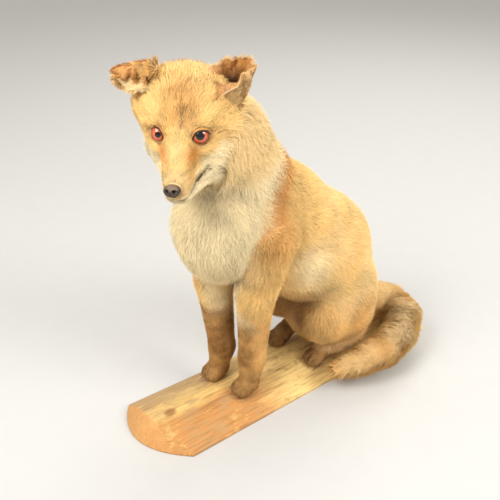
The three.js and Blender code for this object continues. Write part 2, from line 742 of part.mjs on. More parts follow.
function buildHead() {
  const whole = facet(bodyField, REGION.head);
  const { nape } = CUTS;
  let skull = partAt(whole, nape.at, nape.facing)[0];
  let snout = partAt(facet(bodyField, REGION.snout), nape.at, nape.facing)[0];
  snout = snout.intersect(headBlock(BLOCKS.snout));
  skull = skull.subtract(headBlock(grown(BLOCKS.snout)));
  for (const side of [LEFT, RIGHT]) {
    skull = skull.subtract(eyeball(side, GAP));
    snout = snout.subtract(eyeball(side, GAP));
    addPiece('eye_' + sideName(side), eyeball(side), 'glass', ROUGHNESS.glass);
  }
  snout = snout.subtract(nosePad(GAP));
  addPiece('head', largest(skull), 'golden');
  addPiece('muzzle', largest(snout.subtract(headBlock(grown(BLOCKS.jaw)))), 'golden');
  addPiece('lower_jaw', largest(snout.intersect(headBlock(BLOCKS.jaw))), 'cream');
  addPiece('nose', nosePad(), 'nose', ROUGHNESS.nose);
}

// The ears stand on the head, a gap clear of it.
function buildEars() {
  const seat = facet(bodyField, REGION.head, 2 * GAP);
  const right = sheetSolid(rightEarSheet(EAR_RIGHT), EAR.thickness);
  const left = sheetSolid(leftEarCup(EAR_LEFT), EAR.thickness, true);
  addPiece('ear_right', largest(right.subtract(seat)), 'leather', ROUGHNESS.leather);
  addPiece('ear_left', largest(left.subtract(seat)), 'leather', ROUGHNESS.leather);
}

function buildTrunk(clearance) {
  const { nape, collar, flank, waist } = CUTS;
  const whole = facet(bodyField, REGION.trunk).subtract(clearance);
  const [neck, torso] = partAt(partAt(whole, nape.at, nape.facing)[1], collar.at, collar.facing);
  addPiece('neck', neck, 'cream');
  const [rear, fore] = partAt(torso, flank.at, flank.facing);
  addPiece('chest', largest(fore.subtract(block(BLOCKS.underChest))), 'cream');
  const [seat, loins] = partAt(rear, waist.at, waist.facing);
  addPiece('loins', loins, 'golden');
  let rump = seat;
  for (const side of [LEFT, RIGHT]) {
    const haunch = sideBlock(side, HAUNCH, [HAUNCH.front, HAUNCH.low], [HAUNCH.back, HAUNCH.top]);
    const [thigh, rest] = partBy(rump, haunch);
    addPiece('thigh_' + sideName(side), thigh, 'golden');
    rump = rest;
  }
  addPiece('rump', largest(rump.subtract(block(BLOCKS.underRump))), 'golden');
}

function buildForelegs(clearance) {
  for (const side of [LEFT, RIGHT]) {
    const name = sideName(side);
    const { front, floor } = FORELEG_BLOCK;
    const back = CUTS.armpit - GAP;
    const shaft = sideBlock(side, FORELEG_BLOCK, [front, CUTS.ankle], [back, CUTS.elbow]);
    const leg = largest(facet(bodyField, around(shaft, LEG_CELL)).intersect(block(shaft)));
    const [upper, lower] = partAt(leg, [0, 0, CUTS.carpus], [0, 0, 1]);
    addPiece('foreleg_upper_' + name, upper, 'tan');
    addPiece('foreleg_lower_' + name, lower, 'brown');
    const reach = sideBlock(side, FORELEG_BLOCK, [front, floor], [back, CUTS.ankle - GAP]);
    const clawed = withClaws(facet(bodyField, around(reach, FOOT_CELL)), FORELEG[side].foot, FOREPAW);
    const paw = largest(clawed.subtract(clearance).intersect(block(reach)));
    addPiece('forepaw_' + name, paw, 'tan');
  }
}

function buildHindfeet(clearance) {
  for (const side of [LEFT, RIGHT]) {
    const { front, floor } = HINDFOOT_BLOCK;
    const reach = sideBlock(side, HINDFOOT_BLOCK, [front, floor], [CUTS.heel, CUTS.rumpLow - GAP]);
    const clawed = withClaws(facet(bodyField, around(reach, FOOT_CELL)), HINDLEG[side].foot, HINDPAW);
    const leg = largest(clawed.subtract(clearance).intersect(block(reach)));
    const [hock, foot] = partAt(leg, [0, CUTS.hock, 0], [0, 1, 0]);
    const name = sideName(side);
    addPiece('hock_' + name, hock, 'golden');
    addPiece('hindpaw_' + name, foot, 'brown');
  }
}

function buildTail(clearance) {
  const behind = facet(bodyField, REGION.seat, 3 * GAP);
  const whole = facet(tailField, REGION.tail).subtract(behind).subtract(clearance);
  const [root, rest] = partBy(largest(whole), BLOCKS.tailRoot);
  const [middle, tip] = partAt(rest, CUTS.brush.at, CUTS.brush.facing);
  addPiece('tail_root', root, 'golden');
  addPiece('tail_middle', middle, 'golden');
  addPiece('tail_tip', tip, 'golden');
}

addPiece('base_slab', slabSolid(), 'wood', ROUGHNESS.wood);
const aboveSlab = slabSolid(GAP);
buildTrunk(aboveSlab);
buildForelegs(aboveSlab);
buildHindfeet(aboveSlab);
buildTail(aboveSlab);
buildHead();
buildEars();

export default fox;
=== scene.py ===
"""Taxidermy red fox cub on a half-round log slab.

The fox's body is one implicit solid: tapered limbs and ovals joined by smooth blends, the same
that its solids are cut from. The skin lies inside it by the coat's depth, and the coat grows
from the skin out to it. Lengths are in millimetres until a mesh is made, which is in metres.
The fox faces -Y, its own left is +X, and the origin is the middle of the slab's underside.
"""

import json
import logging
import math
from collections.abc import Callable
from dataclasses import dataclass, field
from enum import Enum

import bpy
import numpy as np
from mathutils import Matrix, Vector

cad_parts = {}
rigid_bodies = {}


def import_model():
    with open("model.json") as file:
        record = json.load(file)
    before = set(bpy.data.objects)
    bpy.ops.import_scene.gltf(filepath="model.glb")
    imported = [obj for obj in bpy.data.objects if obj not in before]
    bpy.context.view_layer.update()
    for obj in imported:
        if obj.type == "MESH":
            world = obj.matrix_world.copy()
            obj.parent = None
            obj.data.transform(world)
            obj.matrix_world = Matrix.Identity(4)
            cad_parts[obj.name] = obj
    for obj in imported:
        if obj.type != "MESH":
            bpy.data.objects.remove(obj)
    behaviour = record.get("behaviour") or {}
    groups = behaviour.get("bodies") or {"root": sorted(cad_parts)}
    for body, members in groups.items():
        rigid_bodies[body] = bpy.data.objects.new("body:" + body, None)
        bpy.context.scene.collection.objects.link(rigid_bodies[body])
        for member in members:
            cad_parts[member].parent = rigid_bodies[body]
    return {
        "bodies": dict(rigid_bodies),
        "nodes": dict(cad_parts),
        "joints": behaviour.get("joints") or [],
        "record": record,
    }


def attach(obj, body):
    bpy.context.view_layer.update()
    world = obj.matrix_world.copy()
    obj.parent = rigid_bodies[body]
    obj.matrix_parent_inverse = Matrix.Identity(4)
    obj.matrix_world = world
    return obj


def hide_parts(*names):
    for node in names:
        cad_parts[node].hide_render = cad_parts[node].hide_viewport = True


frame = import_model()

LOG = logging.getLogger("fox")
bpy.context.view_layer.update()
Array = np.ndarray
Field = Callable[[Array], Array]
Point = tuple[float, float, float]
Colour = tuple[float, float, float]
MM = 0.001
SEED = 7
TINY = 1e-9
HASH_STEPS = (73856093, 19349663, 83492791)
HASH_SEED = 2654435761
HASH_MIX = 1274126177


class Side(Enum):
    """A side of the fox, by the sign of its X."""

    LEFT = 1
    RIGHT = -1


# ---- small array maths


def unit(v: Array) -> Array:
    """Vectors along the last axis, each brought to length one."""
    return v / np.maximum(np.linalg.norm(v, axis=-1, keepdims=True), TINY)


def smooth(x: Array, low: float, high: float) -> Array:
    """Zero up to low, one from high on, and 3t squared less 2t cubed between them."""
    t = np.clip((x - low) / (high - low), 0, 1)
    return t * t * (3 - 2 * t)


def bump(x: Array, middle: float, half: float) -> Array:
    """One at the middle, falling smoothly to zero at half away on either side."""
    return 1 - smooth(np.abs(x - middle), 0, half)


def bell(angle: Array, middle: float, width: float) -> Array:
    """One at an angle, falling off as a bell of the given width on both ways round the circle."""
    apart = np.angle(np.exp(1j * (angle - middle)))
    return np.exp(-((apart / width) ** 2))


def drift(p: Array, size: float, seed: int) -> Array:
    """Smooth random values over space, between -1 and 1.

    A lattice of the given size holds a hashed value at each corner, and a point takes the
    trilinear mean of its cell's eight corners with smoothed weights.

    Args:
        p: Points, one row each.
        size: Lattice spacing.
        seed: Which pattern.

    Returns:
        One value per point.
    """
    q = p / size
    base = np.floor(q).astype(np.int64)
    f = q - base
    f = f * f * (3 - 2 * f)
    total = np.zeros(len(p))
    for corner in range(8):
        step = np.array([corner & 1, corner >> 1 & 1, corner >> 2 & 1])
        a, b, c = ((base + step) * HASH_STEPS).T
        h = a ^ b ^ c ^ seed * HASH_SEED
        h = (h ^ (h >> 13)) * HASH_MIX & 0xFFFFFFFF
        value = ((h ^ (h >> 16)) & 0xFFFF) / 32767.5 - 1
        total += value * np.prod(np.where(step, f, 1 - f), axis=1)
    return total


def limb(p: Array, start: Point, end: Point, start_radius: float, end_radius: float) -> Array:
    """Distance to a tapered limb with round ends.

    The distance to the nearest point of the segment, less a radius that runs evenly from the
    start's to the end's.

    Args:
        p: Points, one row each.
        start: First end of the segment.
        end: Second end.
        start_radius: Radius at the start.
        end_radius: Radius at the end.

    Returns:
        One distance per point, negative inside.
    """
    a = np.asarray(start, float)
    axis = np.asarray(end, float) - a
    away = p - a
    t = np.clip(away @ axis / (axis @ axis), 0, 1)
    radius = start_radius + (end_radius - start_radius) * t
    return np.linalg.norm(away - t[:, None] * axis, axis=1) - radius


def oval(p: Array, at: Point, radii: Point) -> Array:
    """Distance, near the surface, to an oval with three radii.

    With near the length of p over the radii and steep that of p over their squares, it is
    near times near less one, over steep.
    """
    away = p - np.asarray(at, float)
    r = np.asarray(radii, float)
    near = np.linalg.norm(away / r, axis=1)
    steep = np.linalg.norm(away / r**2, axis=1)
    return near * (near - 1) / np.maximum(steep, TINY)


def ball(p: Array, at: Point, radius: float) -> Array:
    """Distance to a ball."""
    return np.linalg.norm(p - np.asarray(at, float), axis=1) - radius


def blend(a: Array, b: Array, width: float) -> Array:
    """Union of two distances with a fillet of about the given width."""
    overlap = np.maximum(width - np.abs(a - b), 0) / width
    return np.minimum(a, b) - overlap * overlap * width / 4


def carve(body: Array, tool: Array, width: float) -> Array:
    """What is left of a body once a tool is cut out of it, with a rounded edge."""
    return -blend(-body, tool, width)


def gradient(f: Field, p: Array, step: float = 0.05) -> Array:
    """Slope of a field at each point, by central differences."""
    found = np.empty_like(p)
    for axis in range(3):
        move = np.zeros(3)
        move[axis] = step
        found[:, axis] = (f(p + move) - f(p - move)) / (2 * step)
    return found


# ---- the fox's shape


@dataclass(frozen=True)
class HeadFrame:
    """The head's own axes: ahead along the muzzle, to the fox's left, and up out of the brow."""

    at: Point = (12, -128.3, 315.4)
    yaw: float = math.radians(45)
    pitch: float = math.radians(29)

    @property
    def axes(self) -> Array:
        """Ahead, left and up as the rows of an array."""
        cy, sy, cp, sp = math.cos(self.yaw), math.sin(self.yaw), math.cos(self.pitch), math.sin(self.pitch)
        ahead = np.array([sy * cp, -cy * cp, -sp])
        left = np.array([cy, sy, 0])
        return np.array([ahead, left, np.cross(ahead, left)])

    def into(self, p: Array) -> Array:
        """Points of the fox's frame, in the head's."""
        return (p - np.array(self.at)) @ self.axes.T

    def out_of(self, p: Array) -> Array:
        """Points of the head's frame, in the fox's."""
        return np.asarray(p, float) @ self.axes + np.array(self.at)

    def turn(self, v: Array) -> Array:
        """Directions of the head's frame, in the fox's."""
        return np.asarray(v, float) @ self.axes


@dataclass(frozen=True)
class Slab:
    """Half-round log slab: a segment of a round log, its near end bowed and planed to a slope."""

    near: float = -163
    far: float = 185.6
    near_skew: float = 0.16
    near_bow: float = 24
    half_near: float = 50.5
    half_far: float = 45
    far_drift: float = 5.5
    crown: float = 19.5
    edge: float = 3
    slope: float = 17
    lip: float = 1.2

    def top(self, out: Array) -> Array:
        """Height of the round top at a distance out from the middle line: an arc of a circle."""
        rise = self.crown - self.edge
        radius = (self.half_near**2 + rise**2) / (2 * rise)
        return self.crown - (radius - np.sqrt(np.maximum(radius**2 - np.asarray(out) ** 2, 0)))


@dataclass(frozen=True)
class Eye:
    """A glass eye: where its ball lies in the head, how it opens and where it looks.

    The opening is given by its middle, the way to its outer corner, and twelve angles from its
    middle to its edge, which go round from the outer corner over the brow side.
    """

    side: Side
    gaze: Point
    corner: Point
    opening: tuple[float, ...]
    pupil: float
    sight: Point
    radius: float = 8.5

    @property
    def at(self) -> Point:
        """Middle of the ball, in the head's frame."""
        return (-3.6, 16.8 * self.side.value, -1.4)


EYES = (
    Eye(
        side=Side.LEFT, gaze=(0.80, 0.48, 0.36), corner=(-0.57, 0.78, 0.24),
        opening=(46, 39, 38, 42, 48, 54, 64, 57, 53, 54, 55, 50), pupil=26, sight=(0.746, 0.185, 0.640),
    ),
    Eye(
        side=Side.RIGHT, gaze=(0.74, -0.28, 0.61), corner=(-0.73, -0.46, 0.50),
        opening=(39, 37, 33, 33, 37, 47, 57, 46, 33, 25, 24, 29), pupil=17, sight=(0.802, 0.042, 0.595),
    ),
)
HEAD = HeadFrame()
SLAB = Slab()


@dataclass(frozen=True)
class Leg:
    """A leg's joints, from the body down to the ball of the foot."""

    joints: tuple[Point, ...]

    @property
    def foot(self) -> Point:
        """Ball of the foot."""
        return self.joints[-1]


@dataclass(frozen=True)
class FoxShape:
    """Named sizes of the fox, and the distance fields made from them."""

    chest: tuple[Point, Point] = ((-11, -73, 206), (46, 46, 52))
    shoulders: Point = (0, -10, 213)
    loin: Point = (3, 40, 154)
    seat: Point = (5, 61, 94)
    belly: Point = (2, 5, 150)
    stern: tuple[Point, Point] = ((5, 64, 60), (47, 44, 40))
    trunk_radii: tuple[float, float, float, float] = (44, 50, 53, 38)
    trunk_blend: float = 24
    neck: tuple[Point, Point, float, float] = ((-6, -48, 237), (-7, -73, 298), 49, 41.5)
    neck_blend: float = 20
    forelegs: dict[Side, Leg] = field(default_factory=lambda: {
        Side.LEFT: Leg(((30, -44, 195), (26, -59, 140), (22, -60, 60), (21.5, -63, 33))),
        Side.RIGHT: Leg(((-30, -55, 190), (-25, -73, 138), (-19, -69, 55), (-18.6, -73, 33))),
    })
    foreleg_radii: tuple[float, ...] = (25, 18.5, 13.5, 12)
    forepaw: tuple[float, Point] = (4, (12.6, 14, 10))
    hindlegs: dict[Side, Leg] = field(default_factory=lambda: {
        Side.LEFT: Leg(((24, 62, 104), (36, 26, 80), (38, 70, 36), (28, 36, 28))),
        Side.RIGHT: Leg(((-16, 62, 104), (-31, 20, 82), (-32, 66, 36), (-25, 24, 28))),
    })
    hindleg_radii: tuple[float, ...] = (32, 28, 12, 10.5)
    hindpaw: tuple[float, Point] = (6, (11.5, 15, 9))
    joint_blend: float = 6
    limb_blend: float = 14
    foot_blend: float = 4
    foot_sunk: float = 0.6
    toe_spread: tuple[float, ...] = (-8.6, -3.1, 3.1, 8.6)
    toe_reach: tuple[float, ...] = (8, 11, 11, 8)
    toe_radii: Point = (3.6, 6, 5)
    toe_drop: float = 3
    toe_blend: float = 8
    tail: tuple[tuple[Point, float], ...] = (
        ((4, 84, 58), 18), ((4, 128, 50), 19), ((20, 154, 41), 20), ((47, 149, 37), 20.5),
        ((67, 122, 35), 20.5), ((76, 86, 32.5), 19.5), ((72.5, 50, 30.5), 16), ((63, 14, 28), 8),
    )
    skull: tuple[Point, Point] = ((-36.5, -1.5, -2), (33.5, 43, 35))
    brow: tuple[Point, Point] = ((-15, 10, -3), (17, 21, 16))
    cheek: tuple[Point, Point] = ((-15, 17, -23), (22, 18, 20))
    ruff: tuple[Point, Point] = ((-18, 27, -34), (16, 10, 13))
    muzzle: tuple[Point, Point, float, float] = ((0, 0, -15), (34.5, -0.3, -21.5), 17.5, 10.5)
    jaws: tuple[tuple[Point, Point, float, float], ...] = (
        ((-4, 22, -38), (34, 4.2, -34), 12, 7.5), ((-6, -14, -35), (34, -3.3, -33.5), 12, 7.5),
    )
    eye_hollow: tuple[Point, float] = ((4.5, 22.6, -1.4), 7)
    head_blend: float = 12
    jaw_blend: float = 9
    hollow_blend: float = 5

    @property
    def feet(self) -> list[tuple[Point, float, Point]]:
        """Each foot's ball, how far its paw reaches ahead of it, and the paw's radii."""
        pairs = ((self.forelegs, self.forepaw), (self.hindlegs, self.hindpaw))
        return [(leg.foot, *paw) for legs, paw in pairs for leg in legs.values()]

    def trunk(self, p: Array) -> Array:
        """Chest, back, belly and seat."""
        shoulder, loin, seat, belly = self.trunk_radii
        d = oval(p, *self.chest)
        d = blend(d, limb(p, self.shoulders, self.loin, shoulder, loin), self.trunk_blend)
        d = blend(d, limb(p, self.loin, self.seat, loin, seat), self.trunk_blend)
        d = blend(d, limb(p, self.belly, self.loin, belly, belly), self.trunk_blend)
        return blend(d, oval(p, *self.stern), self.trunk_blend)

    def head(self, p: Array) -> Array:
        """Skull, brows, cheeks, ruffs, muzzle and jaws, with a hollow at each eye."""
        h = HEAD.into(p)
        m = h.copy()
        m[:, 1] = np.abs(m[:, 1])
        d = oval(h, *self.skull)
        for pair in (self.brow, self.cheek, self.ruff):
            d = blend(d, oval(m, *pair), self.head_blend)
        d = blend(d, limb(h, *self.muzzle), self.head_blend)
        for jaw in self.jaws:
            d = blend(d, limb(h, *jaw), self.jaw_blend)
        return carve(d, ball(m, *self.eye_hollow), self.hollow_blend)

    def paw(self, p: Array, foot: Point, sizes: tuple[float, Point]) -> Array:
        """A foot with four toes side by side across its front, pointing along -Y."""
        forward, radii = sizes
        middle = np.array([foot[0], foot[1] - forward, float(SLAB.top(foot[0])) + radii[2] - self.foot_sunk])
        d = oval(p, middle, radii)
        for offset, reach in zip(self.toe_spread, self.toe_reach):
            toe = middle + np.array([offset, -reach, -self.toe_drop])
            d = blend(d, oval(p, toe, self.toe_radii), self.toe_blend)
        return d

    def foreleg(self, p: Array, side: Side) -> Array:
        """Shoulder, forearm and wrist down to the forepaw."""
        joints, radii = self.forelegs[side].joints, self.foreleg_radii
        d = limb(p, joints[0], joints[1], radii[0], radii[1])
        for n in (1, 2):
            d = blend(d, limb(p, joints[n], joints[n + 1], radii[n], radii[n + 1]), self.joint_blend)
        return blend(d, self.paw(p, self.forelegs[side].foot, self.forepaw), self.joint_blend)

    def thigh(self, p: Array, side: Side) -> Array:
        """Haunch from hip to knee."""
        joints, radii = self.hindlegs[side].joints, self.hindleg_radii
        return limb(p, joints[0], joints[1], radii[0], radii[1])

    def hindfoot(self, p: Array, side: Side) -> Array:
        """Heel, foot and toes."""
        joints, radii = self.hindlegs[side].joints, self.hindleg_radii
        d = limb(p, joints[2], joints[3], radii[2], radii[3])
        return blend(d, self.paw(p, self.hindlegs[side].foot, self.hindpaw), self.joint_blend)

    def brush(self, p: Array) -> Array:
        """The tail: the nearest of its lengths."""
        d = np.full(len(p), np.inf)
        for (a, ra), (b, rb) in zip(self.tail[:-1], self.tail[1:]):
            d = np.minimum(d, limb(p, a, b, ra, rb))
        return d

    def parts(self, p: Array) -> dict[str, Array]:
        """Distance to each part by name."""
        found = {"trunk": self.trunk(p), "neck": limb(p, *self.neck)}
        found |= {"head": self.head(p), "tail": self.brush(p)}
        for side in Side:
            name = side.name.lower()
            found["foreleg_" + name] = self.foreleg(p, side)
            found["thigh_" + name] = self.thigh(p, side)
            found["hindfoot_" + name] = self.hindfoot(p, side)
        return found

    def join(self, part: dict[str, Array]) -> Array:
        """The coat's outer surface, less the tail. Each leg blends with the trunk alone."""
        trunk = blend(part["trunk"], part["neck"], self.neck_blend)
        d = trunk
        for name in ("left", "right"):
            d = np.minimum(d, blend(trunk, part["foreleg_" + name], self.limb_blend))
            haunch = blend(trunk, part["thigh_" + name], self.limb_blend)
            d = np.minimum(d, blend(haunch, part["hindfoot_" + name], self.foot_blend))
        return blend(d, part["head"], self.neck_blend)


# ---- the skin


def surface_nets(f: Field, xs: Array, ys: Array, zs: Array, batches: int = 24) -> tuple[Array, Array]:
    """Surface of a field on a grid, with one vertex in each cell that it crosses.

    Each vertex is the mean of the crossings on its cell's edges, and each crossed edge makes
    a face of the four cells round it, wound to point out of the solid.

    Args:
        f: The field, negative inside.
        xs: Grid lines along X.
        ys: Grid lines along Y.
        zs: Grid lines along Z.
        batches: How many batches the grid's points are measured in.

    Returns:
        Vertices, one row each, and four vertex numbers for each face.
    """
    lines = (xs, ys, zs)
    grid = np.stack(np.meshgrid(*lines, indexing="ij"), -1)
    shape = grid.shape[:3]
    flat = grid.reshape(-1, 3)
    values = np.concatenate([f(part) for part in np.array_split(flat, batches)]).reshape(shape)
    inside = values < 0
    cells = tuple(n - 1 for n in shape)
    total = np.zeros(cells + (3,))
    count = np.zeros(cells)
    crossed = []
    for axis in range(3):
        low = tuple(slice(0, -1) if n == axis else slice(None) for n in range(3))
        high = tuple(slice(1, None) if n == axis else slice(None) for n in range(3))
        cross = inside[low] != inside[high]
        a, b = values[low], values[high]
        t = np.where(cross, a / np.where(cross, a - b, 1), 0)
        place = (grid[low] + t[..., None] * (grid[high] - grid[low])) * cross[..., None]
        u, v = (n for n in range(3) if n != axis)
        for du in (0, 1):
            for dv in (0, 1):
                pick = [slice(None)] * 3
                pick[u] = slice(du, shape[u] - 1 + du)
                pick[v] = slice(dv, shape[v] - 1 + dv)
                total += place[tuple(pick)]
                count += cross[tuple(pick)]
        crossed.append((cross, inside[low], u, v))
    used = count > 0
    number = np.full(cells, -1)
    number[used] = np.arange(used.sum())
    vertices = total[used] / count[used][:, None]
    faces = []
    for axis, (cross, here, u, v) in enumerate(crossed):
        spots = np.argwhere(cross)
        within = [(spots[:, n] > 0) & (spots[:, n] < cells[n]) for n in (u, v)]
        spots = spots[within[0] & within[1]]
        ring = []
        for du, dv in ((1, 1), (0, 1), (0, 0), (1, 0)):
            at = spots.copy()
            at[:, u] -= du
            at[:, v] -= dv
            ring.append(number[at[:, 0], at[:, 1], at[:, 2]])
        quad = np.stack(ring, 1)
        turned = here[spots[:, 0], spots[:, 1], spots[:, 2]] ^ (axis == 1)
        faces.append(np.where(turned[:, None], quad, quad[:, ::-1]))
    return vertices, np.concatenate(faces)


def settle(f: Field, p: Array, passes: int = 3, reach: float = 1.2, flattest: float = 0.05) -> Array:
    """Slides points along a field's slope onto its surface, by no more than a reach in all."""
    start = p.copy()
    for _ in range(passes):
        slope = gradient(f, p)
        steep = np.maximum((slope**2).sum(1), flattest)
        p = p - slope * (f(p) / steep)[:, None]
        move = p - start
        length = np.maximum(np.linalg.norm(move, axis=1, keepdims=True), TINY)
        p = start + move * np.minimum(1, reach / length)
    return p


class Marks(Enum):
    """The masks that colour skin and coat, in the order they are stored."""

    CREAM = 0
    RUST = 1
    BROWN = 2
    GREY = 3
    DARK = 4
    BARE = 5


class Masks:
    """The masks at some points, one column for each mark, from none of it to all of it."""

    def __init__(self, count: int) -> None:
        """Starts with none of any mark."""
        self.table = np.zeros((count, len(Marks)))

    def put(self, mark: Marks, value: Array) -> None:
        """Sets one mark."""
        self.table[:, mark.value] = value

    def add(self, mark: Marks, value: Array) -> None:
        """Raises one mark to a value wherever it is lower."""
        self.put(mark, np.maximum(self.table[:, mark.value], value))

    def fade(self, keep: Array, *marks: Marks) -> None:
        """Keeps only a share of some marks."""
        for mark in marks:
            self.table[:, mark.value] *= keep

    def clipped(self) -> Array:
        """The table, each value from 0 to 1."""
        return np.clip(self.table, 0, 1)


@dataclass(frozen=True)
class Markings:
    """Where the coat's colours lie, as masks over the fox's own shape.

    The shoulder band and the cheek's upper edge are lines given by their places at a few
    heights. Two noises, fine and broad, make every edge uneven.
    """

    shape: FoxShape
    band_heights: tuple[float, ...] = (200, 225, 245, 258, 268, 285)
    band_places: tuple[float, ...] = (-58, -53, -51, -46, -37, -24)
    cheek_asides: tuple[float, ...] = (16, 19, 28, 37, 48, 57)
    cheek_heights: tuple[float, ...] = (-15, -13.2, -10.4, -10.3, -15.2, -21.5)
    whisker_bed: Point = (8, 26, -20)
    crown: tuple[float, float] = (5, 2.8)
    brow_streak: tuple[Point, Point] = ((-4.5, 25.5, 2.5), (-8, 39, -8))
    tear_streak: tuple[Point, Point] = ((5, 11.5, -1.5), (13, 9.5, -7))
    throat: Point = (22, -98, 260)
    toe_gap: float = 5.9
    front_way: tuple[float, float] = (-0.614, -0.789)

    def band(self, p: Array) -> Array:
        """How far behind the middle of the shoulder band a point lies, along Y."""
        middle = np.interp(p[:, 2], self.band_heights, self.band_places)
        return p[:, 1] - middle + 4 * drift(p, 20, 11)

    def of(self, p: Array) -> Array:
        """All masks at some points.

        Args:
            p: Points on or near the skin, one row each.

        Returns:
            One row per point and one column per mask, each from 0 to 1.
        """
        part = self.shape.parts(p)
        x, y, z = p.T
        masks = Masks(len(p))
        head = smooth(part["neck"] - part["head"], -6, 6) * smooth(part["trunk"] - part["head"], -2, 4)
        body = 1 - head
        band = self.band(p)
        fine = drift(p, 4, 3)
        broad = drift(p, 14, 5)
        nape = smooth(z + 7 * broad, 270, 294) * smooth(y, -110, -84)
        bib = body * smooth(-band, 3, 17)
        masks.put(Marks.CREAM, bib * smooth(z + 6 * broad, 152, 176) * (1 - 0.55 * nape))
        shoulder = 0.62 * bump(y, -50, 32) * bump(z, 212, 50) * smooth(np.abs(x), 20, 34)
        thigh = 0.46 * bump(y, 46, 64) * smooth(128 - z, 0, 34)
        strength = smooth(z, 212, 228) * smooth(300 - z, 8, 26)
        rusty = np.maximum.reduce([bump(band, 0, 17) * strength, shoulder, thigh])
        masks.put(Marks.RUST, body * rusty * (0.85 + 0.15 * fine))
        for side in Side:
            self._legs(side, p, part, body, masks, fine, broad)
        flank = body * bump(y, -10, 32) * smooth(np.abs(x), 10, 30)
        flank = flank * smooth(part["foreleg_left"], 0, 8)
        greyed = smooth(170 - z + 8 * broad, 0, 30) * smooth(z, 112, 128)
        masks.put(Marks.GREY, 0.12 * flank * greyed)
        masks.add(Marks.CREAM, 0.95 * flank * bump(z, 166, 42))
        # Painted shade: brown under the belly and low on the flank, between the forelegs and thighs.
        belly_shade = smooth(128 - z + 7 * broad, 0, 18) * smooth(40 - np.abs(x), 0, 10)
        masks.add(Marks.BROWN, 0.9 * body * belly_shade * bump(y, 4, 34))
        masks.add(Marks.BROWN, 0.70 * body * smooth(150 - z + 7 * broad, 0, 24) * bump(y, -4, 34))
        self._head(p, head, masks, fine, broad)
        masks.add(Marks.CREAM, 0.28 * body * smooth(y, -12, 20) * smooth(broad, -0.5, 0.6))
        # Painted shade: mottled brown low on the chest, kept off the forelegs.
        low_chest_shade = bib * bump(z, 172, 44) * smooth(fine + 0.6 * broad, -0.2, 0.7)
        clear = smooth(np.minimum(part["foreleg_left"], part["foreleg_right"]), 0, 8)
        masks.add(Marks.BROWN, 0.40 * low_chest_shade * clear)
        self._tail(p, part, masks, fine, broad)
        return masks.clipped()

    def _tail(self, p: Array, part: dict[str, Array], masks: Masks, fine: Array, broad: Array) -> None:
        """Puts the tail's own marks in place of the body's, faintly mottled, with painted light making it
        paler round the bend.
        """
        x, y, _ = p.T
        tail = smooth(np.minimum(part["trunk"], part["hindfoot_left"]) - part["tail"], -2, 6)
        masks.fade(1 - tail, Marks.CREAM, Marks.RUST, Marks.BROWN, Marks.GREY)
        # Painted light: cream round the tail's bend.
        bend = smooth(x, 26, 50) * smooth(y, 84, 120)
        masks.add(Marks.CREAM, tail * (0.20 + 0.20 * broad + 0.45 * bend))
        masks.add(Marks.RUST, tail * (0.12 - 0.15 * broad))
        masks.add(Marks.BROWN, tail * 0.10 * smooth(-fine - broad, 0.1, 0.9))

    def _legs(self, side: Side, p: Array, part: dict[str, Array], body: Array, masks: Masks,
              fine: Array, broad: Array) -> None:
        """Adds one side's legs.

        A foreleg has a pale inner band above, orange behind it and brown in front below. The
        hind foot is brown, and every foot has painted shade as dark lines between its toes.
        """
        name = side.name.lower()
        x, y, z = p.T
        joints = np.array(self.shape.forelegs[side].joints)
        away_x = x - np.interp(z, joints[::-1, 2], joints[::-1, 0])
        away_y = y - np.interp(z, joints[::-1, 2], joints[::-1, 1])
        leg = body * smooth(part["trunk"] - part["foreleg_" + name], -3, 6) * smooth(-y, 25, 45)
        turn = np.degrees(np.arctan2(away_y, away_x))
        pale_at, pale_low = (-145, 126) if side is Side.LEFT else (-22, 104)
        apart = np.abs((turn - pale_at + 180) % 360 - 180)
        pale = leg * smooth(58 - apart + 10 * fine, 0, 20)
        pale = pale * smooth(z + 8 * broad, pale_low, pale_low + 22)
        ahead = self.front_way[0] * away_x + self.front_way[1] * away_y
        front = smooth(ahead, *((-7, 4) if side is Side.LEFT else (-12, -5)))
        high = 124 if side is Side.LEFT else 116
        brown = leg * front * smooth(z + 12 * broad, 30, 62) * smooth(high - z + 14 * broad, 0, 30)
        foot = leg * smooth(62 - z, 0, 26) * ((0.08 if side is Side.LEFT else 0.60) + 0.35 * fine)
        # Painted shade: dark lines in the creases between the toes.
        for joint in (self.shape.forelegs[side], self.shape.hindlegs[side]):
            places = (-self.toe_gap, 0, self.toe_gap)
            gaps = np.min([np.abs(x - joint.foot[0] - 1.05 * gap) for gap in places], axis=0)
            toes = bump(gaps, 0, 1.5) * smooth(joint.foot[1] - 10 - y, 0, 4)
            toes = toes * smooth(36 - z, 0, 4) * bump(y, joint.foot[1] - 18, 14)
            masks.add(Marks.DARK, 0.7 * toes)
        orange = leg * (0.42 - 0.30 * smooth(z, 80, 140) + 0.22 * broad) * (1 - pale)
        masks.fade(1 - leg * smooth(170 - z, 0, 20), Marks.CREAM)
        masks.table[:, Marks.CREAM.value] += 0.7 * pale * smooth(176 - z, -20, 10)
        masks.add(Marks.RUST, orange)
        masks.add(Marks.BROWN, np.maximum(brown * (0.66 + 0.45 * fine) * (1 - pale), foot))
        flecks = leg * smooth(fine + broad, 0.55, 0.95) * bump(z, 140, 50) * (1 - pale)
        masks.add(Marks.BROWN, 0.6 * flecks)
        hind = smooth(np.minimum(part["trunk"], part["thigh_" + name]) - part["hindfoot_" + name], 0, 5)
        hind = hind * body * smooth(y, -26, -6) * smooth(66 - y, 0, 16)
        masks.add(Marks.BROWN, hind * (0.85 + 0.15 * fine))

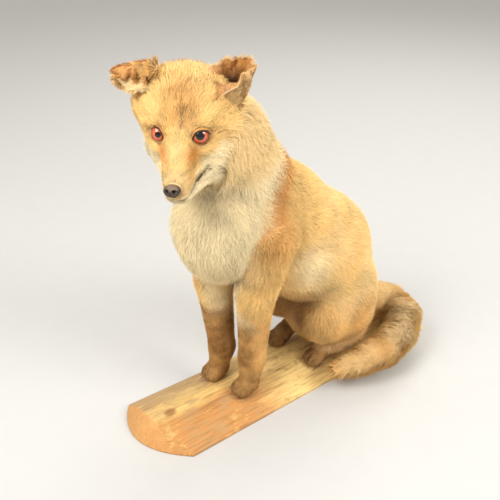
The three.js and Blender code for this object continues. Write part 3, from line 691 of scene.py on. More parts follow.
    def _head(self, p: Array, head: Array, masks: Masks, fine: Array, broad: Array) -> None:
        """Adds the head's own markings: cream cheeks and lips, rusty muzzle sides and dark streaks, with
        painted shade behind the eyes' outer corners, in the forehead crease and in the mouth.
        """
        h = HEAD.into(settle(self.shape.head, p, 1, 9))
        ahead, aside, up = h[:, 0], np.abs(h[:, 1]), h[:, 2]
        edge = np.interp(aside, self.cheek_asides, self.cheek_heights)
        cheek = smooth(edge + 2.5 * broad + fine - up, -2, 4)
        cheek = cheek * smooth(-2.4 - 0.9 * up + fine - ahead, -2.5, 3)
        jaw = smooth(-27 - up, -1, 2)
        muzzle_top = 0.18 * bump(h[:, 1], 0, 9) * bump(ahead, 14, 16) * smooth(up, -14, -6)
        snout = 0.3 * smooth(ahead, 26, 38)
        rim = 0.8 * bump(Mouth().near(h, Mouth.gape), Mouth.wide + 1.4, 1.6)
        cream = np.maximum.reduce([cheek * smooth(aside, 14, 18), jaw, muzzle_top, snout, rim])
        masks.add(Marks.CREAM, head * np.clip(cream + 0.10 * broad, 0, 1))
        whiskers = bump(ball(h, self.whisker_bed, 0), 0, 9) * smooth(fine + broad, -0.3, 0.8)
        masks.add(Marks.GREY, 0.3 * head * whiskers)
        side = bump(aside, 12, 8) * bump(up, -9, 11) * bump(ahead, 15, 21)
        brow = 0.42 * bump(h[:, 1], 1.5, 22) * smooth(up, 2, 9) * smooth(38 + ahead, 0, 22)
        masks.add(Marks.RUST, head * np.maximum(0.85 * side, brow))
        back, left = self.crown[0] - ahead, h[:, 1] - self.crown[1]
        turn, far = np.arctan2(left, back), np.hypot(left, back)
        fan = smooth(drift(np.stack([turn * 17, far / 13, np.zeros(len(p))], 1), 1, 15), 0, 0.6)
        fan = fan * bump(far, 15, 18) * smooth(up, 5, 12) * bump(turn, 0, 1.2)
        masks.add(Marks.BROWN, 0.68 * head * fan)
        both = np.stack([ahead, aside, up], 1)
        # Painted shade: a brown streak back from the eye's outer corner, under the brow. The tear streak is
        # the coat's own.
        streak = bump(limb(both, *self.brow_streak, 0, 0), 0, 4.5)
        tear = bump(limb(both, *self.tear_streak, 0, 0), 0, 3)
        masks.add(Marks.BROWN, head * np.maximum(0.6 * streak, 0.45 * tear))
        dots = smooth(drift(h, 1.7, 77), 0.62, 0.8) * bump(aside, 9, 6)
        dots = dots * bump(ahead, 26, 12) * smooth(up, -16, -10)
        # Painted shade along the crease between the eyes. The dots on the muzzle are the coat's own.
        crease = bump(Mouth().near(h, SkinField.crease), 0, 2.2)
        masks.add(Marks.DARK, head * np.maximum.reduce([0.55 * crease, 0.5 * dots, Mouth().dark(h)]))
        throat = bump(ball(p, self.throat, 0), 0, 30)
        masks.add(Marks.BROWN, throat * smooth(fine + broad, 0, 0.7) * 0.8)


@dataclass(frozen=True)
class Mouth:
    """The mouth in the head's frame: a line along the lips and a gape at its left corner."""

    line: tuple[Point, ...] = (
        (14, -19, -28), (30, -12, -29.5), (40.5, -8, -30.5), (44, -1.3, -30.4),
        (43.4, 3.2, -31.8), (41.9, 7.4, -31.6), (37.6, 10.9, -29.7), (27, 14.5, -28.4), (22.5, 15.6, -27.5),
    )
    gape: tuple[Point, ...] = ((22.5, 15.6, -27.5), (15.5, 19.7, -26.8), (11.4, 23.8, -25.7))
    wide: float = 2.2
    # Along the tail, which runs on from the gape, the coat gets a painted shadow line.
    tail: tuple[Point, ...] = ((11.4, 23.8, -25.7), (9.3, 29.1, -26.6), (6.6, 34, -27.1))
    gape_sunk: float = 1.8
    lips_sunk: float = 1.5
    lips_clear: float = 1

    def near(self, h: Array, line: tuple[Point, ...]) -> Array:
        """Distance to a line of points."""
        return np.min([limb(h, a, b, 0, 0) for a, b in zip(line[:-1], line[1:])], axis=0)

    def sunk(self, shape: FoxShape, line: tuple[Point, ...], depth: float) -> Array:
        """A line of points moved in from the coat's surface by a depth."""
        p = HEAD.out_of(line)
        return HEAD.into(p - depth * unit(gradient(shape.head, p)))

    def closed_to_fur(self, shape: FoxShape, h: Array) -> Array:
        """Whether each point lies in the gape or on the line of the lips, on the coat or on the skin."""
        gape = np.minimum(self.near(h, self.gape), self.near(h, self.sunk(shape, self.gape, self.gape_sunk)))
        lips = np.minimum(self.near(h, self.line), self.near(h, self.sunk(shape, self.line, self.lips_sunk)))
        return (gape < self.wide + 0.3) | (lips < self.lips_clear)

    def dark(self, h: Array) -> Array:
        """How dark the mouth makes each point: all along the gape, less on the lips and its tail. The gape's
        dark is painted shade, the lips' is partly their own edge and partly painted shadow, and the tail's is
        painted shadow.
        """
        lips = 0.85 * bump(self.near(h, self.line), 0, 1.5)
        gape = smooth(self.wide + 0.2 - self.near(h, self.gape), 0, 1)
        return np.maximum.reduce([lips, gape, 0.35 * bump(self.near(h, self.tail), 0, 2)])


@dataclass(frozen=True)
class SkinField:
    """The skin's surface: each part of the fox drawn in by its own depth of coat."""

    shape: FoxShape
    trunk: float = 7
    neck: float = 8
    thigh: float = 6
    hindfoot: float = 2.3
    tail: float = 8.5
    gaps: tuple[float, ...] = (-5.9, 0, 5.9)
    gap_radii: tuple[float, float] = (0.9, 1.9)
    gap_blend: float = 1.6
    feet_below: float = 42
    crease: tuple[Point, ...] = ((-8, 2.9, 17), (-5.7, 2.9, 15), (-1.5, 2.9, 10.2), (0.5, 2.6, 7.6))
    lid_room: tuple[float, float, float] = (8, 8.4, 1.5)
    ball_room: float = 0.8
    gape_deep: float = 2.6
    lips_deep: tuple[float, float] = (1.9, 0.9)
    crease_deep: tuple[float, float] = (2.4, 1)
    groove_blend: float = 1
    tail_blend: float = 3

    def head_depth(self, p: Array) -> Array:
        """Depth of the coat over the head: thin on the muzzle, thicker back and on the cheeks."""
        h = HEAD.into(p)
        back = 1.6 * smooth(-h[:, 0], -6, 25) + 3 * smooth(-h[:, 0], 30, 60)
        cheek = smooth(np.abs(h[:, 1]), 18, 34) * smooth(-h[:, 2], 5, 25) * smooth(-h[:, 0], -8, 5)
        return 1.4 + back + 4 * cheek

    def foreleg_depth(self, p: Array) -> Array:
        """Depth of the coat down a foreleg: deep at the shoulder, thin at the wrist, more on the foot."""
        z = p[:, 2]
        leg = 1.7 + 1.2 * smooth(z, 60, 110) + 3.6 * smooth(z, 110, 175)
        return leg + 1.3 * smooth(self.feet_below - z, 0, 8)

    def part_toes(self, d: Array, p: Array) -> Array:
        """Draws in the gaps between the toes of every foot."""
        low = p[:, 2] < self.feet_below
        q, found = p[low], d[low]
        for foot, forward, radii in self.shape.feet:
            x, y, _ = foot
            z = float(SLAB.top(abs(x))) + radii[2]
            for gap in self.gaps:
                top = (x + 0.9 * gap, y - forward - 9, z + 6)
                front = (x + 1.1 * gap, y - forward - 20, z - 6)
                found = carve(found, limb(q, top, front, *self.gap_radii), self.gap_blend)
        d = d.copy()
        d[low] = found
        return d

    def __call__(self, p: Array) -> Array:
        """Distance to the skin."""
        part = self.shape.parts(p)
        part["trunk"] = part["trunk"] + self.trunk
        part["neck"] = part["neck"] + self.neck
        part["head"] = part["head"] + self.head_depth(p)
        part["tail"] = part["tail"] + self.tail
        foreleg = self.foreleg_depth(p)
        for side in Side:
            name = side.name.lower()
            part["foreleg_" + name] = part["foreleg_" + name] + foreleg
            part["thigh_" + name] = part["thigh_" + name] + self.thigh
            part["hindfoot_" + name] = part["hindfoot_" + name] + self.hindfoot
        d = self.shape.join(part)
        h = HEAD.into(p)
        out, radius, width = self.lid_room
        for eye in EYES:
            middle = np.array(eye.at)
            d = carve(d, ball(h, middle + out * unit(np.array(eye.gaze)), radius), width)
            d = np.maximum(d, -ball(h, middle, eye.radius - self.ball_room))
        mouth = Mouth()
        grooves = (
            (mouth.gape, self.gape_deep, mouth.wide),
            (mouth.line, *self.lips_deep),
            (self.crease, *self.crease_deep),
        )
        for line, depth, wide in grooves:
            d = carve(d, mouth.near(h, mouth.sunk(self.shape, line, depth)) - wide, self.groove_blend)
        return blend(self.part_toes(d, p), part["tail"], self.tail_blend)

    def coat(self, p: Array) -> Array:
        """Distance to the coat's outer surface, tail and all."""
        part = self.shape.parts(p)
        return np.minimum(self.shape.join(part), part["tail"])


@dataclass
class Shell:
    """A surface with its masks: vertices in millimetres, faces of three or four corners."""

    points: Array
    faces: Array
    masks: Array
    normals: Array
    hairy: Array

    @property
    def triangles(self) -> Array:
        """The faces as triangles."""
        f = self.faces
        return f if f.shape[1] == 3 else np.concatenate([f[:, [0, 1, 2]], f[:, [0, 2, 3]]])


def sheet_faces(rows: int, columns: int, ring: bool = False) -> Array:
    """Four-cornered faces of a grid of points, open or closed round its columns."""
    last = columns if ring else columns - 1
    r, c = np.meshgrid(np.arange(rows - 1), np.arange(last), indexing="ij")
    a = r * columns + c
    b = r * columns + (c + 1) % columns
    return np.stack([a, b, b + columns, a + columns], -1).reshape(-1, 4)


def normals_of(points: Array, faces: Array) -> Array:
    """Vertex normals: the mean of the crossed diagonals of the faces round each vertex."""
    cross = np.cross(points[faces[:, 2]] - points[faces[:, 0]], points[faces[:, -1]] - points[faces[:, 1]])
    total = np.zeros_like(points)
    for corner in range(faces.shape[1]):
        np.add.at(total, faces[:, corner], cross)
    return unit(total)


class BodySkin:
    """The skin over the whole body, without ears and lids."""

    finest: float = 1.05
    fine: float = 1.6
    coarse: float = 2.8
    stops: tuple[tuple[float, ...], ...] = (
        (-62, -48, 2, 38, 50, 100),
        (-164, -162, -160, -104, -88, 182),
        (13, 250, 262, 292, 372, 374),
    )

    def __init__(self, shape: FoxShape, markings: Markings) -> None:
        """Keeps the shape and its markings."""
        self.skin = SkinField(shape)
        self.markings = markings

    def _lines(self, stops: tuple[float, ...], scale: float) -> Array:
        """Grid lines between six stops: finest in the middle stretch and coarse at both ends."""
        cells = (self.coarse, self.fine, self.finest, self.fine, self.coarse)
        found = []
        for a, b, cell in zip(stops[:-1], stops[1:], cells):
            found.append(np.linspace(a, b, max(1, round((b - a) / (cell * scale))), endpoint=False))
        return np.append(np.concatenate(found), stops[-1])

    def build(self, scale: float) -> Shell:
        """Makes the skin.

        Args:
            scale: Size of the cells, over their finest.

        Returns:
            The skin as a shell.
        """
        points, faces = surface_nets(self.skin, *(self._lines(stops, scale) for stops in self.stops))
        points = settle(self.skin, points)
        normals = unit(gradient(self.skin, points))
        masks = self.markings.of(points)
        return Shell(points, faces, masks, normals, np.ones(len(points)))


class Lids:
    """The lids of one eye: a ring that climbs from the glass over a dark rim to the fur."""

    columns: int = 96
    turns: tuple[float, ...] = (-7, -2, 0, 1.5, 3.5, 5.5, 8, 11, 15, 21, 30)
    lifts: tuple[float, ...] = (-0.3, 0, 0.35, 0.65, 0.9, 1, 1, 0.95, 0.75, 0.2, -0.9)

    def __init__(self, eye: Eye) -> None:
        """Keeps the eye that the lids belong to."""
        self.eye = eye

    @property
    def axes(self) -> tuple[Array, Array, Array]:
        """Out of the opening, towards its outer corner and towards the brow, in the head's frame."""
        out = unit(np.array(self.eye.gaze))
        corner = np.array(self.eye.corner)
        corner = unit(corner - (corner @ out) * out)
        brow = np.cross(out, corner) * self.eye.side.value
        return out, corner, brow

    def edge(self, around: Array) -> Array:
        """Angle from the opening's middle to its edge: the wave series through the measured ones."""
        waves = np.fft.rfft(self.eye.opening) / len(self.eye.opening)
        order = np.arange(len(waves))
        share = np.where((order == 0) | (order == order[-1]), 1, 2)
        return (share * waves * np.exp(1j * np.multiply.outer(around, order))).real.sum(-1)

    def build(self) -> Shell:
        """Makes the ring: at each angle round the opening, points at rising angles from its middle."""
        around = np.linspace(0, 2 * math.pi, self.columns, endpoint=False)
        out, corner, brow = self.axes
        polar = np.radians(self.edge(around)[None, :] + np.array(self.turns)[:, None])
        reach = self.eye.radius + np.array(self.lifts)[:, None]
        side = np.cos(around)[:, None] * corner + np.sin(around)[:, None] * brow
        direction = np.cos(polar)[..., None] * out + np.sin(polar)[..., None] * side[None]
        points = HEAD.out_of(np.array(self.eye.at) + reach[..., None] * direction)
        flat = points.reshape(-1, 3)
        faces = sheet_faces(len(self.turns), self.columns, ring=True)
        normals = normals_of(flat, faces)
        if np.mean(np.sum(normals * HEAD.turn(direction).reshape(-1, 3), axis=1)) < 0:
            faces, normals = faces[:, ::-1], -normals
        masks = Masks(len(flat))
        turn = np.repeat(np.array(self.turns), self.columns)
        upper = np.tile(smooth(np.sin(around + 0.25), -0.35, 0.15), len(self.turns))
        inner = np.tile(bell(around, math.pi + 0.1, 0.30), len(self.turns))
        outer = np.tile(bell(around, 0, 0.22), len(self.turns))
        wet = np.maximum(inner * bump(turn, 6, 8), 0.8 * outer * bump(turn, 5, 3.5))
        # The upper lid's dark edge, and below the lower lid a faint line of painted shadow.
        line = np.maximum(upper * smooth(9 - turn, 0, 5), (1 - upper) * bump(turn, 10.5, 4) * 0.5)
        rim = smooth(-turn, -2.5, 0) * (0.35 + 0.55 * upper)
        masks.put(Marks.DARK, np.maximum(line, rim) * (1 - wet))
        masks.put(Marks.BARE, smooth(15 - turn, 0, 6))
        masks.put(Marks.CREAM, np.maximum(0.9 * wet, 0.35 * (1 - upper) * bump(turn, 4, 5)))
        masks.put(Marks.RUST, 0.35 * smooth(turn, 9, 15))
        return Shell(flat, faces, masks.table, normals, np.zeros(len(flat)))


@dataclass(frozen=True)
class EarFrame:
    """Where an ear stands on the head: its root, the way it rises and the way it faces."""

    at: Point
    rise: Point
    face: Point

    @property
    def axes(self) -> tuple[Array, Array, Array]:
        """Up along the ear, out across it and ahead out of its opening, in the fox's frame."""
        up = unit(HEAD.turn(self.rise))
        out = unit(np.cross(up, HEAD.turn(self.face)))
        return up, out, np.cross(out, up)


def walled(middle: Array, thickness: Array, ring: bool) -> tuple[Array, Array, Array]:
    """A sheet of points made into a closed wall.

    The two faces lie half a thickness to either side of the middle sheet along its normal, and
    strips close them along every open edge.

    Args:
        middle: Points as rows by columns by three.
        thickness: Thickness at each point.
        ring: Whether the columns close on themselves.

    Returns:
        Vertices, four-cornered faces, and for each vertex one on the front face, else zero.
    """
    rows, columns = middle.shape[:2]
    along = np.gradient(middle, axis=0)
    padded = np.concatenate([middle[:, -1:], middle, middle[:, :1]], 1) if ring else middle
    across = np.gradient(padded, axis=1)
    across = across[:, 1:-1] if ring else across
    normal = unit(np.cross(across, along))
    front = (middle + 0.5 * thickness[..., None] * normal).reshape(-1, 3)
    back = (middle - 0.5 * thickness[..., None] * normal).reshape(-1, 3)
    face = sheet_faces(rows, columns, ring)
    count = rows * columns
    made = [face, face[:, ::-1] + count]
    for row in (0, rows - 1):
        line = row * columns + np.arange(columns)
        line = np.append(line, line[0]) if ring else line
        strip = np.stack([line[:-1], line[:-1] + count, line[1:] + count, line[1:]], 1)
        made.append(strip if row == 0 else strip[:, ::-1])
    if not ring:
        for column in (0, columns - 1):
            line = np.arange(rows) * columns + column
            strip = np.stack([line[:-1], line[1:], line[1:] + count, line[:-1] + count], 1)
            made.append(strip if column == 0 else strip[:, ::-1])
    side = np.repeat([1, 0], count)
    return np.concatenate([front, back]), np.concatenate(made), side


@dataclass(frozen=True)
class RightEar:
    """The right ear: a curled sheet standing out sideways, its upper edge dried over forwards."""

    frame: EarFrame = EarFrame((-45, -25, 28.5), (0.2, -1, 0.03), (0.72, 0, 0.69))
    length: float = 32
    base_half: float = 18
    tip_half: float = 9
    base_curl: float = 1.1
    tip_curl: float = 0.5
    fold_turn: float = 2.6
    fold_at: float = 0.1
    rows: int = 60
    columns: int = 72

    def build(self) -> Shell:
        """Makes the ear: each section is an arc drawn by its turning angle, folded near its end."""
        t = np.linspace(-0.12, 1, self.rows)[:, None]
        s = (2 * (np.arange(self.columns) + 0.5) / self.columns - 1)[None, :]
        t_in = np.clip(t, 0, 1)
        taper = np.sqrt(1 - t_in**3)
        low = 1 - 0.35 * smooth(-s, 0.2, 1) * smooth(t_in, 0.3, 0.9)
        narrow = self.tip_half * (1 - t_in)
        half = narrow + (self.base_half - narrow) * taper + 2 * t_in
        curl = self.base_curl + (self.tip_curl - self.base_curl) * t_in
        crumple = 0.35 * np.sin(19 * t + 4 * s) + 0.25 * np.sin(31 * t - 7 * s)
        fold = self.fold_turn * smooth(s, self.fold_at, self.fold_at + 0.35)
        opened = 0.6 + 0.4 * np.minimum(1, 3 * t_in)
        angle = curl * s + (fold + crumple * smooth(s, 0.2, 0.6)) * opened
        step = 2 * half * low / self.columns
        across = np.cumsum(np.cos(angle) * step, axis=1)
        depth = np.cumsum(np.sin(angle) * step, axis=1)
        mid = self.columns // 2
        across, depth = across - across[:, mid:mid + 1], depth - depth[:, mid:mid + 1]
        wave = 0.9 * np.sin(5 * s + 6 * t) * smooth(t, 0.3, 1)
        up, out, ahead = self.frame.axes
        root = HEAD.out_of(self.frame.at)
        rise = self.length * (t + 0.03 * np.sin(7 * s) * t_in + 0.02 * np.sin(23 * s + 1) * t_in)
        middle = root + rise[..., None] * up + across[..., None] * out + (depth + wave)[..., None] * ahead
        edge = np.minimum(1 - np.abs(s), 1.2 * (1 - t))
        thickness = 0.8 + 1.7 * smooth(edge, 0, 0.35)
        points, faces, front = walled(middle, thickness, ring=False)
        normals = normals_of(points, faces)
        s_all, t_all = (np.tile(np.broadcast_to(v, middle.shape[:2]).ravel(), 2) for v in (s, t))
        masks = Masks(len(points))
        folded = smooth(s_all, 0.16, 0.34) * smooth(t_all, 0.25, 0.5)
        rough = drift(points, 3, 21)
        masks.put(Marks.BARE, folded * (0.9 + 0.1 * rough))
        masks.put(Marks.CREAM, 0.55 * front * (1 - folded))
        masks.put(Marks.BROWN, 0.5 * front * smooth(rough, 0.2, 0.8) * (1 - folded))
        # Painted shade along the fold on the ear's front, from the root up.
        masks.put(Marks.DARK, 0.6 * front * bump(s_all, 0.22, 0.16) * smooth(t_all, 0, 0.3))
        masks.put(Marks.RUST, 0.35 * (1 - front))
        hairy = (1 - folded) * np.where(front > 0.5, smooth(-s_all, -0.2, 0.1), 1)
        hairy *= smooth(1.02 - t_all, 0, 0.15)
        return Shell(points, faces, masks.clipped(), normals, hairy)


@dataclass(frozen=True)
class LeftEar:
    """The left ear: an upright cup whose front rim has dried outwards and down as a flap."""

    frame: EarFrame = EarFrame((-40, 36, 4), (-0.42, 0.2, 0.88), (0.9, -0.12, 0.42))
    base_radius: float = 9
    rim_radius: float = 15
    back: float = 36
    front: float = 18
    flap: float = 15
    flap_turn: float = 2.7
    flap_at: float = 0.55
    crease_at: float = 1.05
    rows: int = 64
    rows_low: int = 8
    columns: int = 120

    def build(self) -> Shell:
        """Makes the ear: each profile climbs by its turning angle, and the front ones turn over."""
        around = np.linspace(0, 2 * math.pi, self.columns, endpoint=False)[None, :]
        q = ((np.arange(self.rows) + 0.5) / self.rows)[:, None]
        frontness = 0.5 + 0.5 * np.cos(around + self.flap_at)
        lip = frontness**3
        torn = 0.8 * np.sin(7 * around + 0.6) + 0.6 * np.sin(17 * around)
        torn = torn + 0.4 * np.sin(29 * around + 2)
        wall = self.back + (self.front - self.back) * frontness
        whole = wall + self.flap * lip + torn * (1 - 0.6 * lip)
        s = q * whole
        slope = math.atan2(self.rim_radius - self.base_radius, self.front)
        turn = self.flap_turn * lip * smooth(s - wall, -3, 4)
        flare = 0.45 * (1 - lip) * smooth(q, 0.7, 1) * np.sin(3 * around + 1)
        crumple = 0.22 * np.sin(9 * around + 5 * q) * smooth(q, 0.3, 0.9)
        lean = slope * np.clip(1 - s / self.back, 0, 1) + turn + flare + crumple
        step = whole / self.rows
        radius = self.base_radius + np.cumsum(np.sin(lean) * step, axis=0)
        height = np.cumsum(np.cos(lean) * step, axis=0) - 3
        crease = bell(around, self.crease_at, 0.22) * smooth(q, 0.15, 0.5)
        radius = radius * (1 + 0.035 * np.sin(5 * around + 1.3) * smooth(q, 0.1, 0.6) - 0.34 * crease)
        up, out, ahead = self.frame.axes
        axis = HEAD.out_of(self.frame.at) + height[..., None] * up
        middle = axis + (np.cos(around) * radius)[..., None] * ahead
        middle = middle + (np.sin(around) * radius)[..., None] * out
        thickness = 0.8 + 1.5 * smooth(1 - q, 0, 0.3)
        points, faces, front = walled(middle, thickness, ring=True)
        normals = normals_of(points, faces)
        q_all, lip_all = (np.tile(np.broadcast_to(v, middle.shape[:2]).ravel(), 2) for v in (q, lip))
        over = np.tile(smooth(s - wall, -1, 3).ravel(), 2) * smooth(lip_all, 0.12, 0.4)
        low = slice(0, self.columns * self.rows_low)
        outward = np.sum((points[low] - axis.reshape(-1, 3)[low]) * normals[low], axis=1)
        outer = front if np.mean(outward) > 0 else 1 - front
        masks = Masks(len(points))
        rough = drift(points, 3, 23)
        masks.put(Marks.BARE, np.where(outer > 0.5, smooth(q_all, 0.80, 0.95) * (1 - over), 1))
        shade = np.clip(0.10 + 0.9 * smooth(0.74 - q_all, 0, 0.36) + 0.2 * rough, 0, 1)
        masks.put(Marks.DARK, (1 - outer) * (1 - over) * shade)
        ridge = np.tile(crease.ravel(), 2)
        pale = np.maximum(0.9 * ridge**3, 0.15 * over + 0.7 * smooth(q_all, 0.955, 0.985))
        masks.put(Marks.CREAM, np.where(outer > 0.5, 0.30, pale))
        masks.put(Marks.RUST, 0.30 * outer * (1 - over))
        hairy = outer * (1 - smooth(q_all, 0.86, 0.97)) * (1 - over)
        return Shell(points, faces, masks.clipped(), normals, hairy)


# ---- the coat


@dataclass(frozen=True)
class Lock:
    """A part's tufts: how long and wide they are, and how many grow on a square millimetre."""

    length: float
    width: float
    thick: float
    stray: float = 0.12


LOCKS = {
    "trunk": Lock(18.5, 0.85, 2.3, 0.19),
    "neck": Lock(18, 0.82, 2.5, 0.20),
    "head": Lock(14, 0.80, 2.2, 0.16),
    "tail": Lock(12.5, 0.85, 2.9, 0.26),
    "foreleg": Lock(11, 0.85, 2.3, 0.28),
    "thigh": Lock(14, 0.85, 2.4, 0.18),
    "hindfoot": Lock(6, 0.75, 3, 0.20),
}


class Region(Enum):
    """The parts of the coat, each with pieces and a UV patch of its own."""

    HEAD = 0
    NECK = 1
    CHEST = 2
    FLANKS = 3
    RUMP = 4
    FORELEG_LEFT = 5
    FORELEG_RIGHT = 6
    HINDLEG_LEFT = 7
    HINDLEG_RIGHT = 8
    TAIL = 9


@dataclass
class Roots:
    """Where tufts grow: place, skin normal, lie, size and masks, one row each."""

    points: Array
    normals: Array
    lie: Array
    length: Array
    width: Array
    depth: Array
    proud: Array
    masks: Array
    follow: Array
    patch: Array
    region: Array

    def pick(self, rows: Array) -> "Roots":
        """Some of the roots, by their row numbers."""
        return Roots(*(getattr(self, name)[rows] for name in self.__dataclass_fields__))


class Lie:
    """The lie of the coat: which way it runs at each point of the skin."""

    def __init__(self, shape: FoxShape) -> None:
        """Keeps the shape."""
        self.shape = shape

    def shares(self, p: Array) -> dict[str, Array]:
        """Each part's share in a point, falling off with distance to the part."""
        part = self.shape.parts(p)
        nearest = np.min(np.stack(list(part.values())), axis=0)
        share = {name: np.exp(-(d - nearest) / 4) for name, d in part.items()}
        total = np.sum(np.stack(list(share.values())), axis=0)
        return {name: value / total for name, value in share.items()}

    def head(self, p: Array) -> Array:
        """Back from the nose, up over the brow, down over the cheeks and round the eyes."""
        h = HEAD.into(p)
        aside = np.abs(h[:, 1])
        back = np.stack([-np.ones(len(p)), 0.018 * h[:, 1], np.zeros(len(p))], 1)
        back[:, 2] = 0.25 - 0.9 * smooth(aside, 12, 34) * smooth(-h[:, 2], -6, 18)
        fan = smooth(h[:, 2], 0, 10) * smooth(h[:, 0] + 30, 0, 24)
        back[:, 1] += 0.035 * h[:, 1] * fan
        for eye in EYES:
            away = h - np.array(eye.at)
            near = bump(np.linalg.norm(away, axis=1), 6, 15)
            back = back + unit(away) * near[:, None] * 0.9
        return HEAD.turn(unit(back))

    def brush(self, p: Array) -> Array:
        """Along the nearest length of the tail, towards its tip."""
        best = np.full(len(p), np.inf)
        found = np.zeros_like(p)
        tail = self.shape.tail
        for (a, ra), (b, rb) in zip(tail[:-1], tail[1:]):
            d = limb(p, a, b, ra, rb)
            closer = d < best
            best = np.where(closer, d, best)
            found[closer] = unit(np.array(b, float) - np.array(a, float))
        return found

    def at(self, p: Array, n: Array, share: dict[str, Array]) -> Array:
        """The lie at some points: the parts' own ways by their shares, flattened on the skin.

        Args:
            p: Points on the skin.
            n: Skin normals there.
            share: Each part's share in each point.

        Returns:
            Unit vectors along the skin.
        """
        y, z = p[:, 1], p[:, 2]
        rear, far = smooth(y, -72, -36), smooth(y, -20, 30)
        none, down = np.zeros(len(p)), -np.ones(len(p))
        back = 0.08 + 0.92 * rear - 0.2 * far
        trunk = np.stack([0.05 * p[:, 0] / 40, back, down + 0.5 * rear - 0.2 * far], 1)
        neck = np.stack([0.10 * p[:, 0] / 40, 0.05 + 0.55 * smooth(y, -110, -55), down], 1)
        toes = smooth(44 - z, 0, 14)
        foreleg = np.stack([none, -0.9 * toes, down + 0.4 * toes], 1)
        thigh = np.stack([none, 0.45 - 0.4 * smooth(-y, -30, 0), down], 1)
        hindfoot = np.stack([none, down, 0.5 * down], 1)
        ways = {"trunk": trunk, "neck": neck, "head": self.head(p), "tail": self.brush(p)}
        for side in Side:
            name = side.name.lower()
            ways |= {"foreleg_" + name: foreleg, "thigh_" + name: thigh, "hindfoot_" + name: hindfoot}
        total = sum(unit(way) * share[name][:, None] for name, way in ways.items())
        swirl = np.stack([drift(p, 13, seed) for seed in (31, 32, 33)], 1)
        stray = np.stack([drift(p, 4.5, seed) for seed in (34, 35, 36)], 1)
        total = total + 0.30 * swirl + 0.22 * stray
        return unit(total - np.sum(total * n, 1, keepdims=True) * n)


